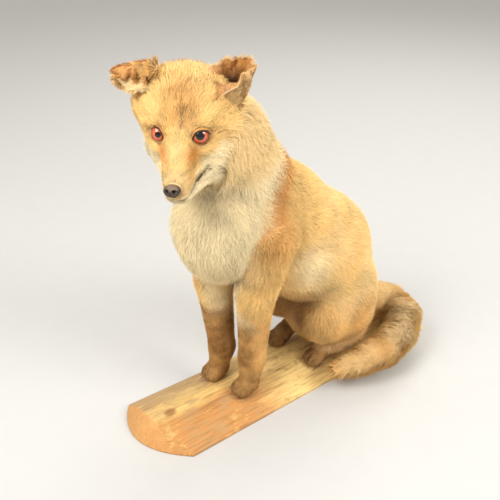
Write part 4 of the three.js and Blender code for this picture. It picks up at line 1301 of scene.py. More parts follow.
class Coat:
    """The coat: solid tufts rooted in the skin, lying along it and tapering to their tips.

    Locks are drawn out along the main run of each region, given in the order of Region. The
    tail's are drawn out along its own line, by its UV patch.
    """

    runs: tuple[Point, ...] = (
        (-0.2, 0.9, 0.25), (0.1, 0.3, -1), (0, 0.25, -1), (0, 0.8, -0.7), (0, 0.7, -0.8),
        (0, 0, -1), (0, 0, -1), (0, 0.3, -1), (0, 0.3, -1), (0, -0.9, -0.4),
    )
    upright: tuple[tuple[float, float], ...] = (
        (-6, -58), (0, -45), (4, 25), (5, 50),
        (22, -62), (-20, -72), (32, 45), (-29, 40),
    )
    tail_round: float = 110
    tail_along: float = 48
    chest_back: float = -10
    rump_top: float = 118
    ear_length: float = 4.2
    ear_width: float = 0.7
    ear_dense: float = 6
    ear_proud: float = 0.4
    patch_margin: float = 0.004
    patch_size: tuple[float, float] = (0.0013, 0.003)

    def __init__(self, shape: FoxShape, skin: SkinField, lie: Lie, density: float) -> None:
        """Keeps what the tufts grow from, and how dense they stand."""
        self.shape, self.skin, self.lie, self.density = shape, skin, lie, density
        self.random = np.random.default_rng(SEED)

    def _sizes(self, p: Array, share: dict[str, Array]) -> tuple[Array, Array, Array, Array]:
        """Length, width, density and stray of the tufts at some points."""
        h = HEAD.into(p)
        found = [np.zeros(len(p)) for _ in range(4)]
        for name, part in share.items():
            lock = LOCKS[name.split("_")[0]]
            length = np.full(len(p), lock.length)
            width = np.full(len(p), lock.width)
            thick = np.full(len(p), lock.thick)
            if name == "head":
                face = smooth(h[:, 0], -34, 2)
                muzzle = smooth(h[:, 0], 2, 12)
                near = np.min([np.linalg.norm(h - np.array(eye.at), axis=1) for eye in EYES], axis=0)
                ruff = smooth(np.abs(h[:, 1]), 20, 34) * smooth(-h[:, 2], 4, 24)
                ruff = ruff * smooth(-h[:, 0], -12, 2)
                length = length * (1 - 0.34 * face - 0.38 * muzzle)
                length = length * (0.5 + 0.5 * smooth(near, 10, 18)) + 3 * ruff
                width = width * (1 - 0.15 * face - 0.25 * muzzle)
                thick = thick + 0.9 * face + 2 * muzzle
            elif name.startswith("foreleg"):
                low = smooth(-p[:, 2], -150, -75)
                length = length * (1 - 0.55 * low)
                width = width * (1 - 0.25 * low)
                thick = thick + 1.2 * low
            nape = bump(p[:, 2], 272, 18) * bump(p[:, 1], -28, 24) * (name in ("neck", "trunk"))
            length = length * (1 + 0.3 * nape)
            for total, value in zip(found, (length, width, thick, lock.stray + 0.35 * nape)):
                total += part * value
        return tuple(found)

    def _sample(self, shell: Shell, dense: Array) -> tuple[Array, Array, Array]:
        """Random roots on a shell, as many on each triangle as its area and density ask for."""
        tris = shell.triangles
        a, b, c = (shell.points[tris[:, n]] for n in range(3))
        area = 0.5 * np.linalg.norm(np.cross(b - a, c - a), axis=1)
        wanted = area * dense[tris].mean(1) * self.density
        count = np.floor(wanted + self.random.random(len(wanted))).astype(int)
        chosen = np.repeat(np.arange(len(tris)), count)
        u, v = self.random.random((2, len(chosen)))
        over = u + v > 1
        u, v = np.where(over, 1 - u, u), np.where(over, 1 - v, v)
        weight = np.stack([1 - u - v, u, v], 1)[..., None]
        corner = tris[chosen]
        fields = (shell.points, shell.normals, shell.masks)
        points, normals, masks = ((values[corner] * weight).sum(1) for values in fields)
        return points, unit(normals), masks

    def _clear(self, p: Array) -> Array:
        """One where tufts may root, zero over the eyes, the nose and the open mouth."""
        h = HEAD.into(p)
        keep = np.ones(len(p))
        for eye in EYES:
            lids = Lids(eye)
            out, corner, brow = lids.axes
            away = h - np.array(eye.at)
            around = np.arctan2(away @ brow, away @ corner)
            polar = np.degrees(np.arccos(np.clip(unit(away) @ out, -1, 1)))
            near = np.linalg.norm(away, axis=1) < eye.radius + 5
            keep = np.where(near & (polar < lids.edge(around) + 6), 0, keep)
        keep = np.where(oval(h, NosePad.at, NosePad.radii) < 0.6, 0, keep)
        return np.where(Mouth().closed_to_fur(self.shape, h), 0, keep)

    def _unwrap(self, p: Array, region: Array) -> Array:
        """Place of each root on an unwrap of its region's own shape.

        Head: polar angle from the muzzle's line and angle round it. Trunk, neck and legs: angle
        round an upright line, and height. Tail: angle round the tail's line, and way along it.

        Args:
            p: Roots.
            region: Region number of each.

        Returns:
            Two numbers per root, from 0 to 1.
        """
        found = np.zeros((len(p), 2))
        h = HEAD.into(p) - np.array([-22, 0, -12])
        found[:, 0] = np.arctan2(h[:, 1], h[:, 2]) / (2 * math.pi) + 0.5
        found[:, 1] = np.arccos(np.clip(unit(h)[:, 0], -1, 1)) / math.pi
        for number, (x, y) in enumerate(self.upright, Region.NECK.value):
            mine = region == number
            if mine.any():
                found[mine, 0] = np.arctan2(p[mine, 0] - x, p[mine, 1] - y) / (2 * math.pi) + 0.5
                found[mine, 1] = np.interp(p[mine, 2], (p[mine, 2].min(), p[mine, 2].max()), (0, 1))
        mine = region == Region.TAIL.value
        found[mine] = self._unwrap_tail(p[mine])
        return self.patch_margin + (1 - 2 * self.patch_margin) * np.clip(found, 0, 1)

    def _unwrap_tail(self, q: Array) -> Array:
        """Angle round the tail's line and way along it, each from 0 to 1."""
        line = np.array([at for at, _ in self.shape.tail], float)
        step = np.concatenate([[0], np.cumsum(np.linalg.norm(np.diff(line, axis=0), axis=1))])
        best = np.full(len(q), np.inf)
        along, turn = np.zeros(len(q)), np.zeros(len(q))
        for n in range(len(line) - 1):
            axis = line[n + 1] - line[n]
            t = np.clip((q - line[n]) @ axis / (axis @ axis), 0, 1)
            away = q - line[n] - t[:, None] * axis
            far = np.linalg.norm(away, axis=1)
            side = np.cross(unit(axis), [0, 0, 1])
            closer = far < best
            best = np.where(closer, far, best)
            along = np.where(closer, step[n] + t * (step[n + 1] - step[n]), along)
            turn = np.where(closer, np.arctan2(away @ side, away[:, 2]), turn)
        return np.stack([turn / (2 * math.pi) + 0.5, along / step[-1]], 1)

    def _region(self, p: Array, share: dict[str, Array]) -> Array:
        """Region number of each root, by the part with the largest share in it."""
        names = np.array(list(share))
        main = names[np.argmax(np.stack(list(share.values())), axis=0)]
        trunk = main == "trunk"
        found = {
            Region.HEAD: main == "head",
            Region.NECK: main == "neck",
            Region.CHEST: trunk & (p[:, 1] < self.chest_back),
            Region.FLANKS: trunk & (p[:, 2] > self.rump_top),
            Region.RUMP: trunk,
            Region.FORELEG_LEFT: main == "foreleg_left",
            Region.FORELEG_RIGHT: main == "foreleg_right",
            Region.HINDLEG_LEFT: (main == "thigh_left") | (main == "hindfoot_left"),
            Region.HINDLEG_RIGHT: (main == "thigh_right") | (main == "hindfoot_right"),
        }
        return np.select(list(found.values()), [region.value for region in found], Region.TAIL.value)

    def roots(self, body: Shell, ears: list[Shell]) -> Roots:
        """Plants the roots over the body and the furred parts of the ears.

        Args:
            body: The body's skin.
            ears: The ears' skins.

        Returns:
            All the roots.
        """
        share = self.lie.shares(body.points)
        dense = self._sizes(body.points, share)[2]
        p, n, masks = self._sample(body, dense)
        above = (p[:, 2] > 30) | (p[:, 2] > SLAB.top(np.abs(p[:, 0])) + 0.5)
        keep = (self._clear(p) > 0.5) & above
        p, n, masks = p[keep], n[keep], masks[keep]
        share = self.lie.shares(p)
        length, width, _, _ = self._sizes(p, share)
        lie = self.lie.at(p, n, share)
        feet = smooth(44 - p[:, 2], 0, 8) * (1 - share["tail"])
        depth = np.maximum(-self.skin.coat(p), 0.6) * (1 - 0.45 * feet)
        h = HEAD.into(p)
        loose = smooth(-h[:, 0], 14, 34) + smooth(np.abs(h[:, 1]), 26, 38)
        proud = 2.6 * share["head"] * np.minimum(loose, 1) + 0.3 * share["tail"]
        proud = proud + 1.7 * (share["neck"] + share["trunk"])
        region = self._region(p, share)
        patch = np.zeros((len(p), 2))
        found = [Roots(p, n, lie, length, width, depth, proud, masks, np.ones(len(p)), patch, region)]
        for ear, frame in zip(ears, (RightEar.frame, LeftEar.frame)):
            p, n, masks = self._sample(ear, self.ear_dense * ear.hairy)
            up = frame.axes[0]
            stray = np.stack([drift(p, 4, seed) for seed in (41, 42, 43)], 1)
            away = p - HEAD.out_of(frame.at)
            lie = up + 0.35 * stray + 0.5 * unit(away - np.sum(away * up, 1, keepdims=True) * up)
            lie = unit(lie - np.sum(lie * n, 1, keepdims=True) * n)
            near_root = smooth(24 - np.abs(away @ up), 0, 20)
            masks[:, Marks.BARE.value] = 0
            none = np.zeros(len(p))
            found.append(Roots(
                p, n, lie, self.ear_length + 2.6 * near_root, none + self.ear_width, 1 + near_root,
                none + self.ear_proud, masks, none, np.zeros((len(p), 2)), np.full(len(p), Region.HEAD.value),
            ))
        names = Roots.__dataclass_fields__
        joined = Roots(*(np.concatenate([getattr(part, name) for part in found]) for name in names))
        tips = joined.points + joined.lie * joined.length[:, None]
        middles = joined.points + joined.lie * (0.5 * joined.length[:, None])
        furred = (self._clear(tips) > 0.5) & (self._clear(middles) > 0.5) | (joined.follow < 0.5)
        joined = joined.pick(np.flatnonzero(furred))
        joined.patch = self._unwrap(joined.points, joined.region)
        return joined

    def grow(self, roots: Roots, parts: int) -> dict[str, Array]:
        """Grows a tuft from each root.

        A tuft goes on in equal steps along its lie. After each step it is lifted or lowered to
        its own height over the skin, which rises as a sine from the root to the coat's depth.
        Tufts keep together in locks: a noise drawn out along the main lie sets tone and height.

        Args:
            roots: The roots.
            parts: How many steps a tuft has.

        Returns:
            Arrays by name, with one row per tuft and, in it, two vertices per step and the tip.
        """
        count = len(roots.points)
        draw = self.random.random((7, count))
        share = self.lie.shares(roots.points)
        stray = self._sizes(roots.points, share)[3]
        run = unit(np.array(self.runs))[roots.region]
        squeezed = roots.points - 0.82 * np.sum(roots.points * run, 1, keepdims=True) * run
        tail = roots.region == Region.TAIL.value
        squeezed[tail] = np.insert(roots.patch[tail] * [self.tail_round, self.tail_along], 2, 0, axis=1)
        lock = 0.6 * drift(squeezed, 2.6, 51) + 0.4 * drift(squeezed, 7.5, 53)
        length = roots.length * (0.70 + 0.55 * draw[0])
        height = roots.depth * (0.72 + 0.36 * draw[1] + 0.16 * lock) + roots.proud * draw[1]
        turn = (draw[2] - 0.5) * 6 * stray
        side = np.cross(roots.normals, roots.lie)
        way = unit(roots.lie * np.cos(turn)[:, None] + side * np.sin(turn)[:, None])
        place = roots.points
        spine, normal, ways = [place - 0.5 * roots.normals], [roots.normals], [way]
        follow = roots.follow > 0.5
        loose = stray * draw[3] * 2
        _, y, z = roots.points.T
        breast = (roots.region == Region.NECK.value) | (roots.region == Region.CHEST.value)
        chest = breast * smooth(216 - z, 0, 28) * smooth(-52 - y, 0, 14)
        flanks = roots.region == Region.FLANKS.value
        flank = flanks * smooth(142 - z, 0, 20) * smooth(-y, -40, -20)
        hang = np.clip(0.95 * np.maximum(chest, flank) + 0.9 * stray, 0, 0.95)
        length = length * (1 + 0.55 * chest)
        way = unit(way - 0.6 * chest[:, None] * np.array([0, 0, 1]))
        ways[0] = way
        for step in range(1, parts + 1):
            t = step / parts
            place = place + way * (length / parts)[:, None]
            rise = height * (math.sin(0.5 * math.pi * t) + loose * t * t)
            up = normal[-1].copy()
            if follow.any():
                near = place[follow]
                slope = unit(gradient(self.skin, near, 0.2))
                up[follow] = slope
                off = rise[follow] - self.skin(near)
                off = np.where(off < 0, off * (1 - hang[follow]), off)
                place = place.copy()
                place[follow] = near + slope * np.clip(off, -5, 5)[:, None]
            place = np.where(follow[:, None], place, place + up * (rise / parts)[:, None])
            climb = np.sum(way * up, 1)
            climb = climb * np.where(climb > 0, 1 - hang, 1)
            way = unit(way - climb[:, None] * up)
            spine.append(place)
            normal.append(up)
            ways.append(way)
        roll = (draw[4] - 0.5) * 1.5
        width = roots.width * (0.7 + 0.6 * draw[5])
        points, normals, along, patch = [], [], [], []
        for step in range(parts + 1):
            t = step / parts
            up = normal[step]
            across = np.cross(up, ways[step])
            flat = unit(across * np.cos(roll)[:, None] + up * np.sin(roll)[:, None])
            face = unit(np.cross(ways[step], flat) * 0.35 + up)
            taper = 0.75 if step == 0 else 1.05 - 0.5 * t
            for sign in (-1, 1) if step < parts else (0,):
                points.append(spine[step] + flat * (0.5 * sign * width * taper)[:, None])
                normals.append(unit(face + 0.45 * sign * across))
                along.append(np.full(count, t))
                patch.append(roots.patch + np.array(self.patch_size) * (sign, t - 0.5))
        broad = drift(roots.points, 11, 52)
        tone = 0.75 * lock + 0.25 * broad + 0.7 * (draw[6] - 0.5)
        tone = np.where(tail, 0.5 * tone, tone)
        rows = 2 * parts + 1
        found = {"points": points, "normals": normals, "along": along, "uv": patch}
        found = {name: np.stack(value, 1) for name, value in found.items()}
        shared = {"tone": tone, "masks": roots.masks}
        return found | {name: np.repeat(value[:, None], rows, 1) for name, value in shared.items()}


# ---- small parts of the head


@dataclass(frozen=True)
class NosePad:
    """The nose pad: an oval with a nostril drawn in on each side and a groove between them."""

    at: Point = (43.7, -0.9, -16.8)
    radii: Point = (5.4, 7.4, 6)
    rows: int = 72
    columns: int = 96
    nostrils: tuple[Point, Point] = ((0.62, 0.34, 0.62), (0.56, -0.58, 0.59))
    groove_at: float = -0.13
    deep: float = 3

    def build(self) -> tuple[Array, Array, Array]:
        """Makes the pad: an oval whose radius is drawn in by smooth hollows.

        Returns:
            Points, faces, and how deep each point lies, as painted shade, and how much on top, as painted
            highlight.
        """
        polar = np.linspace(0, math.pi, self.rows)[:, None]
        around = np.linspace(0, 2 * math.pi, self.columns, endpoint=False)[None, :]
        axes = (np.cos(polar), np.sin(polar) * np.cos(around), np.sin(polar) * np.sin(around))
        way = np.stack(np.broadcast_arrays(*axes), -1)
        hollow = np.zeros(way.shape[:2])
        for middle, side in zip(self.nostrils, (1, -1)):
            round_ = smooth(0.33 - np.linalg.norm(way - unit(np.array(middle)), axis=-1), 0, 0.14)
            wing = unit(np.array(middle) + [-0.35, 0.55 * side, -0.30])
            tail = smooth(0.30 - np.linalg.norm((way - wing) * [0.6, 0.6, 1.7], axis=-1), 0, 0.2)
            hollow = np.maximum(hollow, np.maximum(round_, 0.5 * tail))
        aside = np.abs(way[..., 1] - self.groove_at)
        groove = smooth(0.08 - aside, 0, 0.08) * smooth(0.75 - way[..., 2], 0, 0.3)
        swell = 0.5 * bump(aside, 0.5, 0.3) * smooth(way[..., 0], 0.2, 0.8)
        size = 1 - (self.deep * hollow + 0.7 * groove - swell) / np.mean(self.radii)
        flatten = np.where(way[..., 2:3] > 0, [[[1, 1, 0.93]]], [[[1, 0.82, 1]]])
        points = np.array(self.at) + way * np.array(self.radii) * size[..., None] * flatten
        flat = HEAD.out_of(points.reshape(-1, 3))
        pebble = drift(flat, 0.9, 61)[:, None] * 0.06
        flat = flat + pebble * HEAD.turn(way.reshape(-1, 3))
        faces = sheet_faces(self.rows, self.columns, ring=True)[:, ::-1]
        # Painted highlight: the pad's top, away from the nostrils.
        top = smooth(way[..., 2], 0.55, 0.95) * (1 - hollow)
        shade = np.clip(hollow + 0.5 * groove, 0, 1)
        return flat, faces, np.stack([shade.ravel(), top.ravel(), np.zeros(top.size)], 1)


class EyeBall:
    """A glass eye: rings round its line of sight, with a bulge of clear glass over the iris."""

    rows: int = 96
    columns: int = 96
    sunk: float = 0.15
    bulge: float = 0.45
    iris: float = 46

    def __init__(self, eye: Eye) -> None:
        """Keeps the eye and the way its pupil looks, in the head's frame."""
        self.eye, self.sight = eye, unit(np.array(eye.sight))

    def build(self) -> tuple[Array, Array, Array]:
        """Makes the ball.

        Returns:
            Points, faces, and each point's angle from the line of sight, in degrees.
        """
        polar = np.linspace(0, math.pi, self.rows)[:, None]
        around = np.linspace(0, 2 * math.pi, self.columns, endpoint=False)[None, :]
        side = unit(np.cross(self.sight, [0, 0, 1]))
        other = np.cross(self.sight, side)
        ring = np.cos(around)[..., None] * side + np.sin(around)[..., None] * other
        way = np.cos(polar)[..., None] * self.sight + np.sin(polar)[..., None] * ring
        bulge = self.bulge * (1 - smooth(np.degrees(polar), 0, self.iris))
        reach = self.eye.radius - self.sunk + bulge
        points = HEAD.out_of((np.array(self.eye.at) + reach[..., None] * way).reshape(-1, 3))
        angle = np.repeat(np.degrees(polar), self.columns)
        return points, sheet_faces(self.rows, self.columns, ring=True)[:, ::-1], angle


class Claws:
    """The claws: one short curved horn at the tip of each toe."""

    length: float = 6.5
    radius: float = 1.25
    bend: float = 1.15
    droop: float = 3.375
    height: float = 5.4
    set_back: float = 3.2
    rows: int = 10
    columns: int = 10

    def __init__(self, shape: FoxShape) -> None:
        """Keeps the shape that the toes belong to."""
        self.shape = shape

    def build(self) -> tuple[Array, Array]:
        """Makes all the claws: a circle carried along a drooping arc and shrinking to a point."""
        points, faces = [], []
        t = np.linspace(0, 1, self.rows)[:, None]
        around = np.linspace(0, 2 * math.pi, self.columns, endpoint=False)[None, :]
        radius = self.radius * np.sqrt(1 - 0.985 * t)
        ring = sheet_faces(self.rows, self.columns, ring=True)
        for foot, forward, _ in self.shape.feet:
            for offset, reach in zip(self.shape.toe_spread, self.shape.toe_reach):
                x0 = foot[0] + 1.1 * offset
                y0 = foot[1] - forward - reach - self.shape.toe_radii[1] + self.set_back
                z0 = float(SLAB.top(abs(x0))) + self.height
                x = x0 + 0.7 * radius * np.cos(around) + 0.06 * offset * t
                y = y0 - self.length * np.sin(self.bend * t) / self.bend
                z = z0 - self.droop * t**2 + radius * np.sin(around)
                faces.append(ring + len(points) * self.rows * self.columns)
                points.append(np.stack(np.broadcast_arrays(x, y, z), -1).reshape(-1, 3))
        return np.concatenate(points), np.concatenate(faces)


class SlabBoard:
    """The slab as a worn board: its round top, planed near slope, cut far end and flat underside."""

    rows: int = 260
    slope_rows: int = 26
    columns: int = 110
    swell: float = 0.10
    cracks: tuple[tuple[float, float, float, float], ...] = (
        (-16, -175, -92, 0.8), (21, -160, 60, 0.7),
        (4, -120, -62, 0.6), (34, -40, 150, 0.7),
    )
    crack_deep: float = 0.8

    def _cracks(self, x: Array, y: Array) -> Array:
        """How open the cracks are at each point: each wanders along its line and fades at its ends."""
        found = np.zeros(x.shape)
        for at, low, high, wide in self.cracks:
            line = at + 1.6 * np.sin(y / 23 + at) + 0.02 * (y - low)
            ends = bump(y, (low + high) / 2, (high - low) / 2) ** 0.5
            found = np.maximum(found, np.clip(1 - np.abs(x - line) / wide, 0, 1) * ends)
        return found

    def build(self) -> tuple[Array, Array]:
        """Makes the board: rows of points across the top, from the near edge to the far end.

        Returns:
            Points and faces.
        """
        across = np.linspace(-1, 1, self.columns)[None, :]
        flat_rows = self.rows - self.slope_rows
        t = np.append(np.zeros(self.slope_rows), np.linspace(0, 1, flat_rows))[:, None]
        climb = np.append(np.linspace(0, 1, self.slope_rows + 1)[:-1], np.ones(flat_rows))[:, None]
        near_x = across * SLAB.half_near
        far_x = across * SLAB.half_far + SLAB.far_drift
        top = SLAB.top(near_x)
        chord = SLAB.near + SLAB.near_skew * near_x - SLAB.near_bow * (1 - across**2)
        run = SLAB.slope * (top - SLAB.lip) / (SLAB.crown - SLAB.lip)
        start = chord + run * climb
        x = near_x + (far_x - near_x) * t
        y = start + (SLAB.far - start) * t
        z = SLAB.lip + (top - SLAB.lip) * (climb + self.swell * np.sin(math.pi * climb))
        flat = np.stack([x, y, z], -1).reshape(-1, 3)
        grain = 0.16 * drift(flat * [1, 0.06, 1], 2.6, 71) + 0.30 * drift(flat * [1, 0.1, 1], 11, 72)
        z = z + grain.reshape(x.shape) * smooth(z, 1, 6) - self.crack_deep * self._cracks(x, y)
        sheet = np.stack([x, y, z], -1).reshape(-1, 3)
        base = sheet * [1, 1, 0]
        count = len(sheet)
        face = sheet_faces(self.rows, self.columns)
        made = [face, face[:, ::-1] + count]
        near_edge, left_edge = np.arange(self.columns), np.arange(self.rows) * self.columns
        edges = (
            (near_edge, False), (near_edge + (self.rows - 1) * self.columns, True),
            (left_edge, True), (left_edge + self.columns - 1, False),
        )
        for line, flip in edges:
            strip = np.stack([line[:-1], line[:-1] + count, line[1:] + count, line[1:]], 1)
            made.append(strip[:, ::-1] if flip else strip)
        return np.concatenate([sheet, base]), np.concatenate(made)


# ---- meshes


def make_piece(name: str, points: Array, faces: Array, material: bpy.types.Material,
               normals: Array | None = None, values: dict[str, Array] | None = None,
               uv: Array | None = None) -> bpy.types.Object:
    """Makes a smooth-shaded mesh object at the origin.

    Args:
        name: The piece's name.
        points: Vertices in millimetres.
        faces: Vertex numbers of each face, all faces alike in corners.
        material: Its finish.
        normals: Shading normals, one per vertex, or None for the mesh's own.
        values: Attributes by name: numbers or vectors, one per vertex.
        uv: Place of each vertex on the OFBake map, or None.

    Returns:
        The object, linked to the scene and riding on the fox.
    """
    corners = faces.shape[1]
    mesh = bpy.data.meshes.new(name)
    mesh.vertices.add(len(points))
    mesh.vertices.foreach_set("co", (points * MM).astype(np.float32).ravel())
    mesh.loops.add(faces.size)
    mesh.loops.foreach_set("vertex_index", faces.astype(np.int32).ravel())
    mesh.polygons.add(len(faces))
    mesh.polygons.foreach_set("loop_start", np.arange(0, faces.size, corners, dtype=np.int32))
    mesh.update(calc_edges=True)
    mesh.polygons.foreach_set("use_smooth", np.ones(len(faces), bool))
    for key, value in (values or {}).items():
        vector = value.ndim == 2
        layer = mesh.attributes.new(key, "FLOAT_VECTOR" if vector else "FLOAT", "POINT")
        layer.data.foreach_set("vector" if vector else "value", value.astype(np.float32).ravel())
    if uv is not None:
        layer = mesh.uv_layers.new(name="OFBake")
        layer.uv.foreach_set("vector", uv[faces.ravel()].astype(np.float32).ravel())
    if normals is not None:
        mesh.normals_split_custom_set_from_vertices(normals.astype(np.float32))
    mesh.materials.append(material)
    made = bpy.data.objects.new(name, mesh)
    bpy.context.scene.collection.objects.link(made)
    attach(made, "root")
    LOG.info("%s: %d faces", name, len(faces))
    return made


# ---- finishes


def tint(red: float, green: float, blue: float) -> Colour:
    """A colour in linear light, from its screen values out of 255."""
    shares = [part / 255 for part in (red, green, blue)]
    return tuple(c / 12.92 if c <= 0.04045 else ((c + 0.055) / 1.055) ** 2.4 for c in shares)


class Value:
    """A socket in a material, which sums and products can be written with."""

    def __init__(self, sheet: "Sheet", socket: bpy.types.NodeSocket) -> None:
        """Keeps the socket and the sheet that it is in."""
        self.sheet, self.socket = sheet, socket

    def _math(self, operation: str, a: object, b: object) -> "Value":
        """A Math node on two values or numbers."""
        return self.sheet.node("ShaderNodeMath", {"operation": operation}, {0: a, 1: b})

    def __add__(self, other: object) -> "Value":
        """Sum."""
        return self._math("ADD", self, other)

    def __sub__(self, other: object) -> "Value":
        """Difference."""
        return self._math("SUBTRACT", self, other)

    def __rsub__(self, other: object) -> "Value":
        """Difference from a number."""
        return self._math("SUBTRACT", other, self)

    def __mul__(self, other: object) -> "Value":
        """Product."""
        return self._math("MULTIPLY", self, other)

    __radd__ = __add__
    __rmul__ = __mul__

    def rise(self, low: float, high: float) -> "Value":
        """Zero up to low, one from high on, with a smooth step between them."""
        inputs = {"Value": self, "From Min": low, "From Max": high}
        return self.sheet.node("ShaderNodeMapRange", {"interpolation_type": "SMOOTHSTEP"}, inputs)


class Sheet:
    """A material's nodes and the ways to add to them."""

    def __init__(self, name: str) -> None:
        """Makes an empty material."""
        self.material = bpy.data.materials.new(name)
        self.material.use_nodes = True
        self.tree = self.material.node_tree
        self.tree.nodes.clear()

    def node(self, kind: str, settings: dict[str, object], inputs: dict[object, object],
             output: object = 0) -> Value:
        """Adds a node.

        Args:
            kind: The node's type.
            settings: Its own settings, set first.
            inputs: Values or links of its sockets, by name or number.
            output: Which output is wanted.

        Returns:
            The output.
        """
        made = self.tree.nodes.new(kind)
        for name, value in settings.items():
            setattr(made, name, value)
        for name, value in inputs.items():
            socket = made.inputs[name]
            if isinstance(value, Value):
                self.tree.links.new(value.socket, socket)
            else:
                opaque = isinstance(value, tuple) and socket.type == "RGBA"
                socket.default_value = (*value, 1) if opaque else value
        return Value(self, made.outputs[output])

    def three(self, name: str) -> list[Value]:
        """Three numbers kept on the mesh as one vector."""
        vector = self.node("ShaderNodeAttribute", {"attribute_name": name}, {}, "Vector")
        made = self.tree.nodes.new("ShaderNodeSeparateXYZ")
        self.tree.links.new(vector.socket, made.inputs[0])
        return [Value(self, socket) for socket in made.outputs]

    def place(self, *stretch: float) -> Value:
        """The object's own coordinates, stretched along each axis."""
        found = self.node("ShaderNodeTexCoord", {}, {}, "Object")
        if not stretch:
            return found
        return self.node("ShaderNodeMapping", {}, {"Vector": found, "Scale": stretch})

    def noise(self, at: Value, scale: float, detail: float = 3, rough: float = 0.5) -> Value:
        """Noise from 0 to 1 with so many waves in a metre."""
        inputs = {"Vector": at, "Scale": scale, "Detail": detail, "Roughness": rough}
        return self.node("ShaderNodeTexNoise", {}, inputs, "Fac")

    def mix(self, a: object, b: object, share: object, how: str = "MIX") -> Value:
        """Colour a, taken to b by a share."""
        settings = {"data_type": "RGBA", "blend_type": how, "clamp_factor": True}
        return self.node("ShaderNodeMix", settings, {0: share, 6: a, 7: b}, 2)

    def layers(self, colour: object, *over: tuple[object, Value]) -> Value:
        """A colour with others laid over it in turn, each by its share."""
        for other, share in over:
            colour = self.mix(colour, other, share)
        return colour

    def scaled(self, colour: object, factor: Value) -> Value:
        """A colour made brighter or darker by a factor."""
        return self.node("ShaderNodeVectorMath", {"operation": "SCALE"}, {0: colour, "Scale": factor})

    def bump(self, height: Value, reach: float, strength: float = 1) -> Value:
        """A bumped normal from a height of 0 to 1, which stands for a reach in metres."""
        inputs = {"Height": height, "Distance": reach, "Strength": strength}
        return self.node("ShaderNodeBump", {}, inputs, "Normal")

    def surface(self, colour: object, roughness: object, normal: Value | None = None,
                **constants: float) -> bpy.types.Material:
        """Closes the sheet with one shader.

        Args:
            colour: Base colour.
            roughness: Roughness.
            normal: Bumped normal, or None.
            constants: Other sockets, their spaces as underscores.

        Returns:
            The material.
        """
        inputs = {"Base Color": colour, "Roughness": roughness}
        inputs |= {"Normal": normal} if normal else {}
        inputs |= {name.replace("_", " "): value for name, value in constants.items()}
        shader = self.node("ShaderNodeBsdfPrincipled", {}, inputs)
        output = self.tree.nodes.new("ShaderNodeOutputMaterial")
        self.tree.links.new(shader.socket, output.inputs["Surface"])
        return self.material


@dataclass(frozen=True)
class FurColours:
    """The coat's colours, and how its masks mix them."""

    golden: Colour = tint(250, 207, 130)
    cream: Colour = tint(254, 236, 192)
    rust: Colour = tint(204, 114, 18)
    brown: Colour = tint(146, 92, 42)
    grey: Colour = tint(222, 200, 150)
    dark: Colour = tint(60, 34, 14)

    def over(self, sheet: Sheet) -> tuple[Value, Value, Value, Value]:
        """Mixes the colours by the masks on the mesh.

        Args:
            sheet: The material to add to.

        Returns:
            The colour, and the masks of cream, dark and bare hide.
        """
        cream, rust, brown = sheet.three("marks_a")
        grey, dark, bare = sheet.three("marks_b")
        colour = sheet.layers(
            self.golden, (self.rust, rust), (self.grey, grey), (self.cream, cream), (self.brown, brown),
            (self.dark, dark),
        )
        return colour, cream, dark, bare


@dataclass(frozen=True)
class CoatFinish:
    """Fur: each tuft dark at its root and pale at its tip, with tufts of differing tone."""

    colours: FurColours = FurColours()
    highlight: Colour = tint(248, 222, 160)
    lowlight: Colour = tint(150, 98, 44)
    highlight_share: float = 0.24
    lowlight_share: float = 0.42
    root_shade: float = 0.55
    tone_reach: float = 0.42
    roughness: float = 0.68

    def make(self) -> bpy.types.Material:
        """Makes the finish."""
        sheet = Sheet("coat")
        colour, *_ = self.colours.over(sheet)
        tone, along, _ = sheet.three("strand")
        pale = sheet.mix(colour, self.highlight, along.rise(0.55, 1) * self.highlight_share)
        pale = sheet.mix(pale, self.lowlight, (tone * -1).rise(0.15, 0.9) * self.lowlight_share)
        shade = along.rise(-0.3, 0.8) * (1 - self.root_shade) + self.root_shade
        light = shade * (tone * self.tone_reach + 1)
        return sheet.surface(sheet.scaled(pale, light), self.roughness, Specular_IOR_Level=0.12)


@dataclass(frozen=True)
class SkinFinish:
    """Skin: the coat's markings as short flat fur darkened as painted shade under the coat, and dry bare hide
    on lids and ears.
    """

    colours: FurColours = FurColours()
    hide: Colour = tint(206, 146, 80)
    hide_dark: Colour = tint(126, 74, 38)
    hide_pale: Colour = tint(222, 196, 150)

    def make(self) -> bpy.types.Material:
        """Makes the finish."""
        sheet = Sheet("skin")
        colour, cream, dark, bare = self.colours.over(sheet)
        at = sheet.place()
        strands = sheet.noise(sheet.place(1, 1, 0.22), 900, 3, 0.6)
        # The markings darkened as painted shade under the coat, with fine strands.
        fur = sheet.scaled(colour, strands * 0.35 + 0.62)
        wrinkle = sheet.noise(at, 420, 5, 0.62)
        patch = sheet.noise(at, 130, 3)
        hide = sheet.mix(self.hide_dark, self.hide, (wrinkle * 0.5 + patch * 0.5).rise(0.30, 0.62))
        hide = sheet.mix(hide, self.hide_pale, cream * bare)
        hide = sheet.mix(hide, self.colours.dark, dark * bare)
        height = strands * (1 - bare) + wrinkle * bare
        normal = sheet.bump(height, 0.0006, 0.8)
        return sheet.surface(sheet.mix(fur, hide, bare), 0.75 - bare * 0.25, normal, Specular_IOR_Level=0.3)


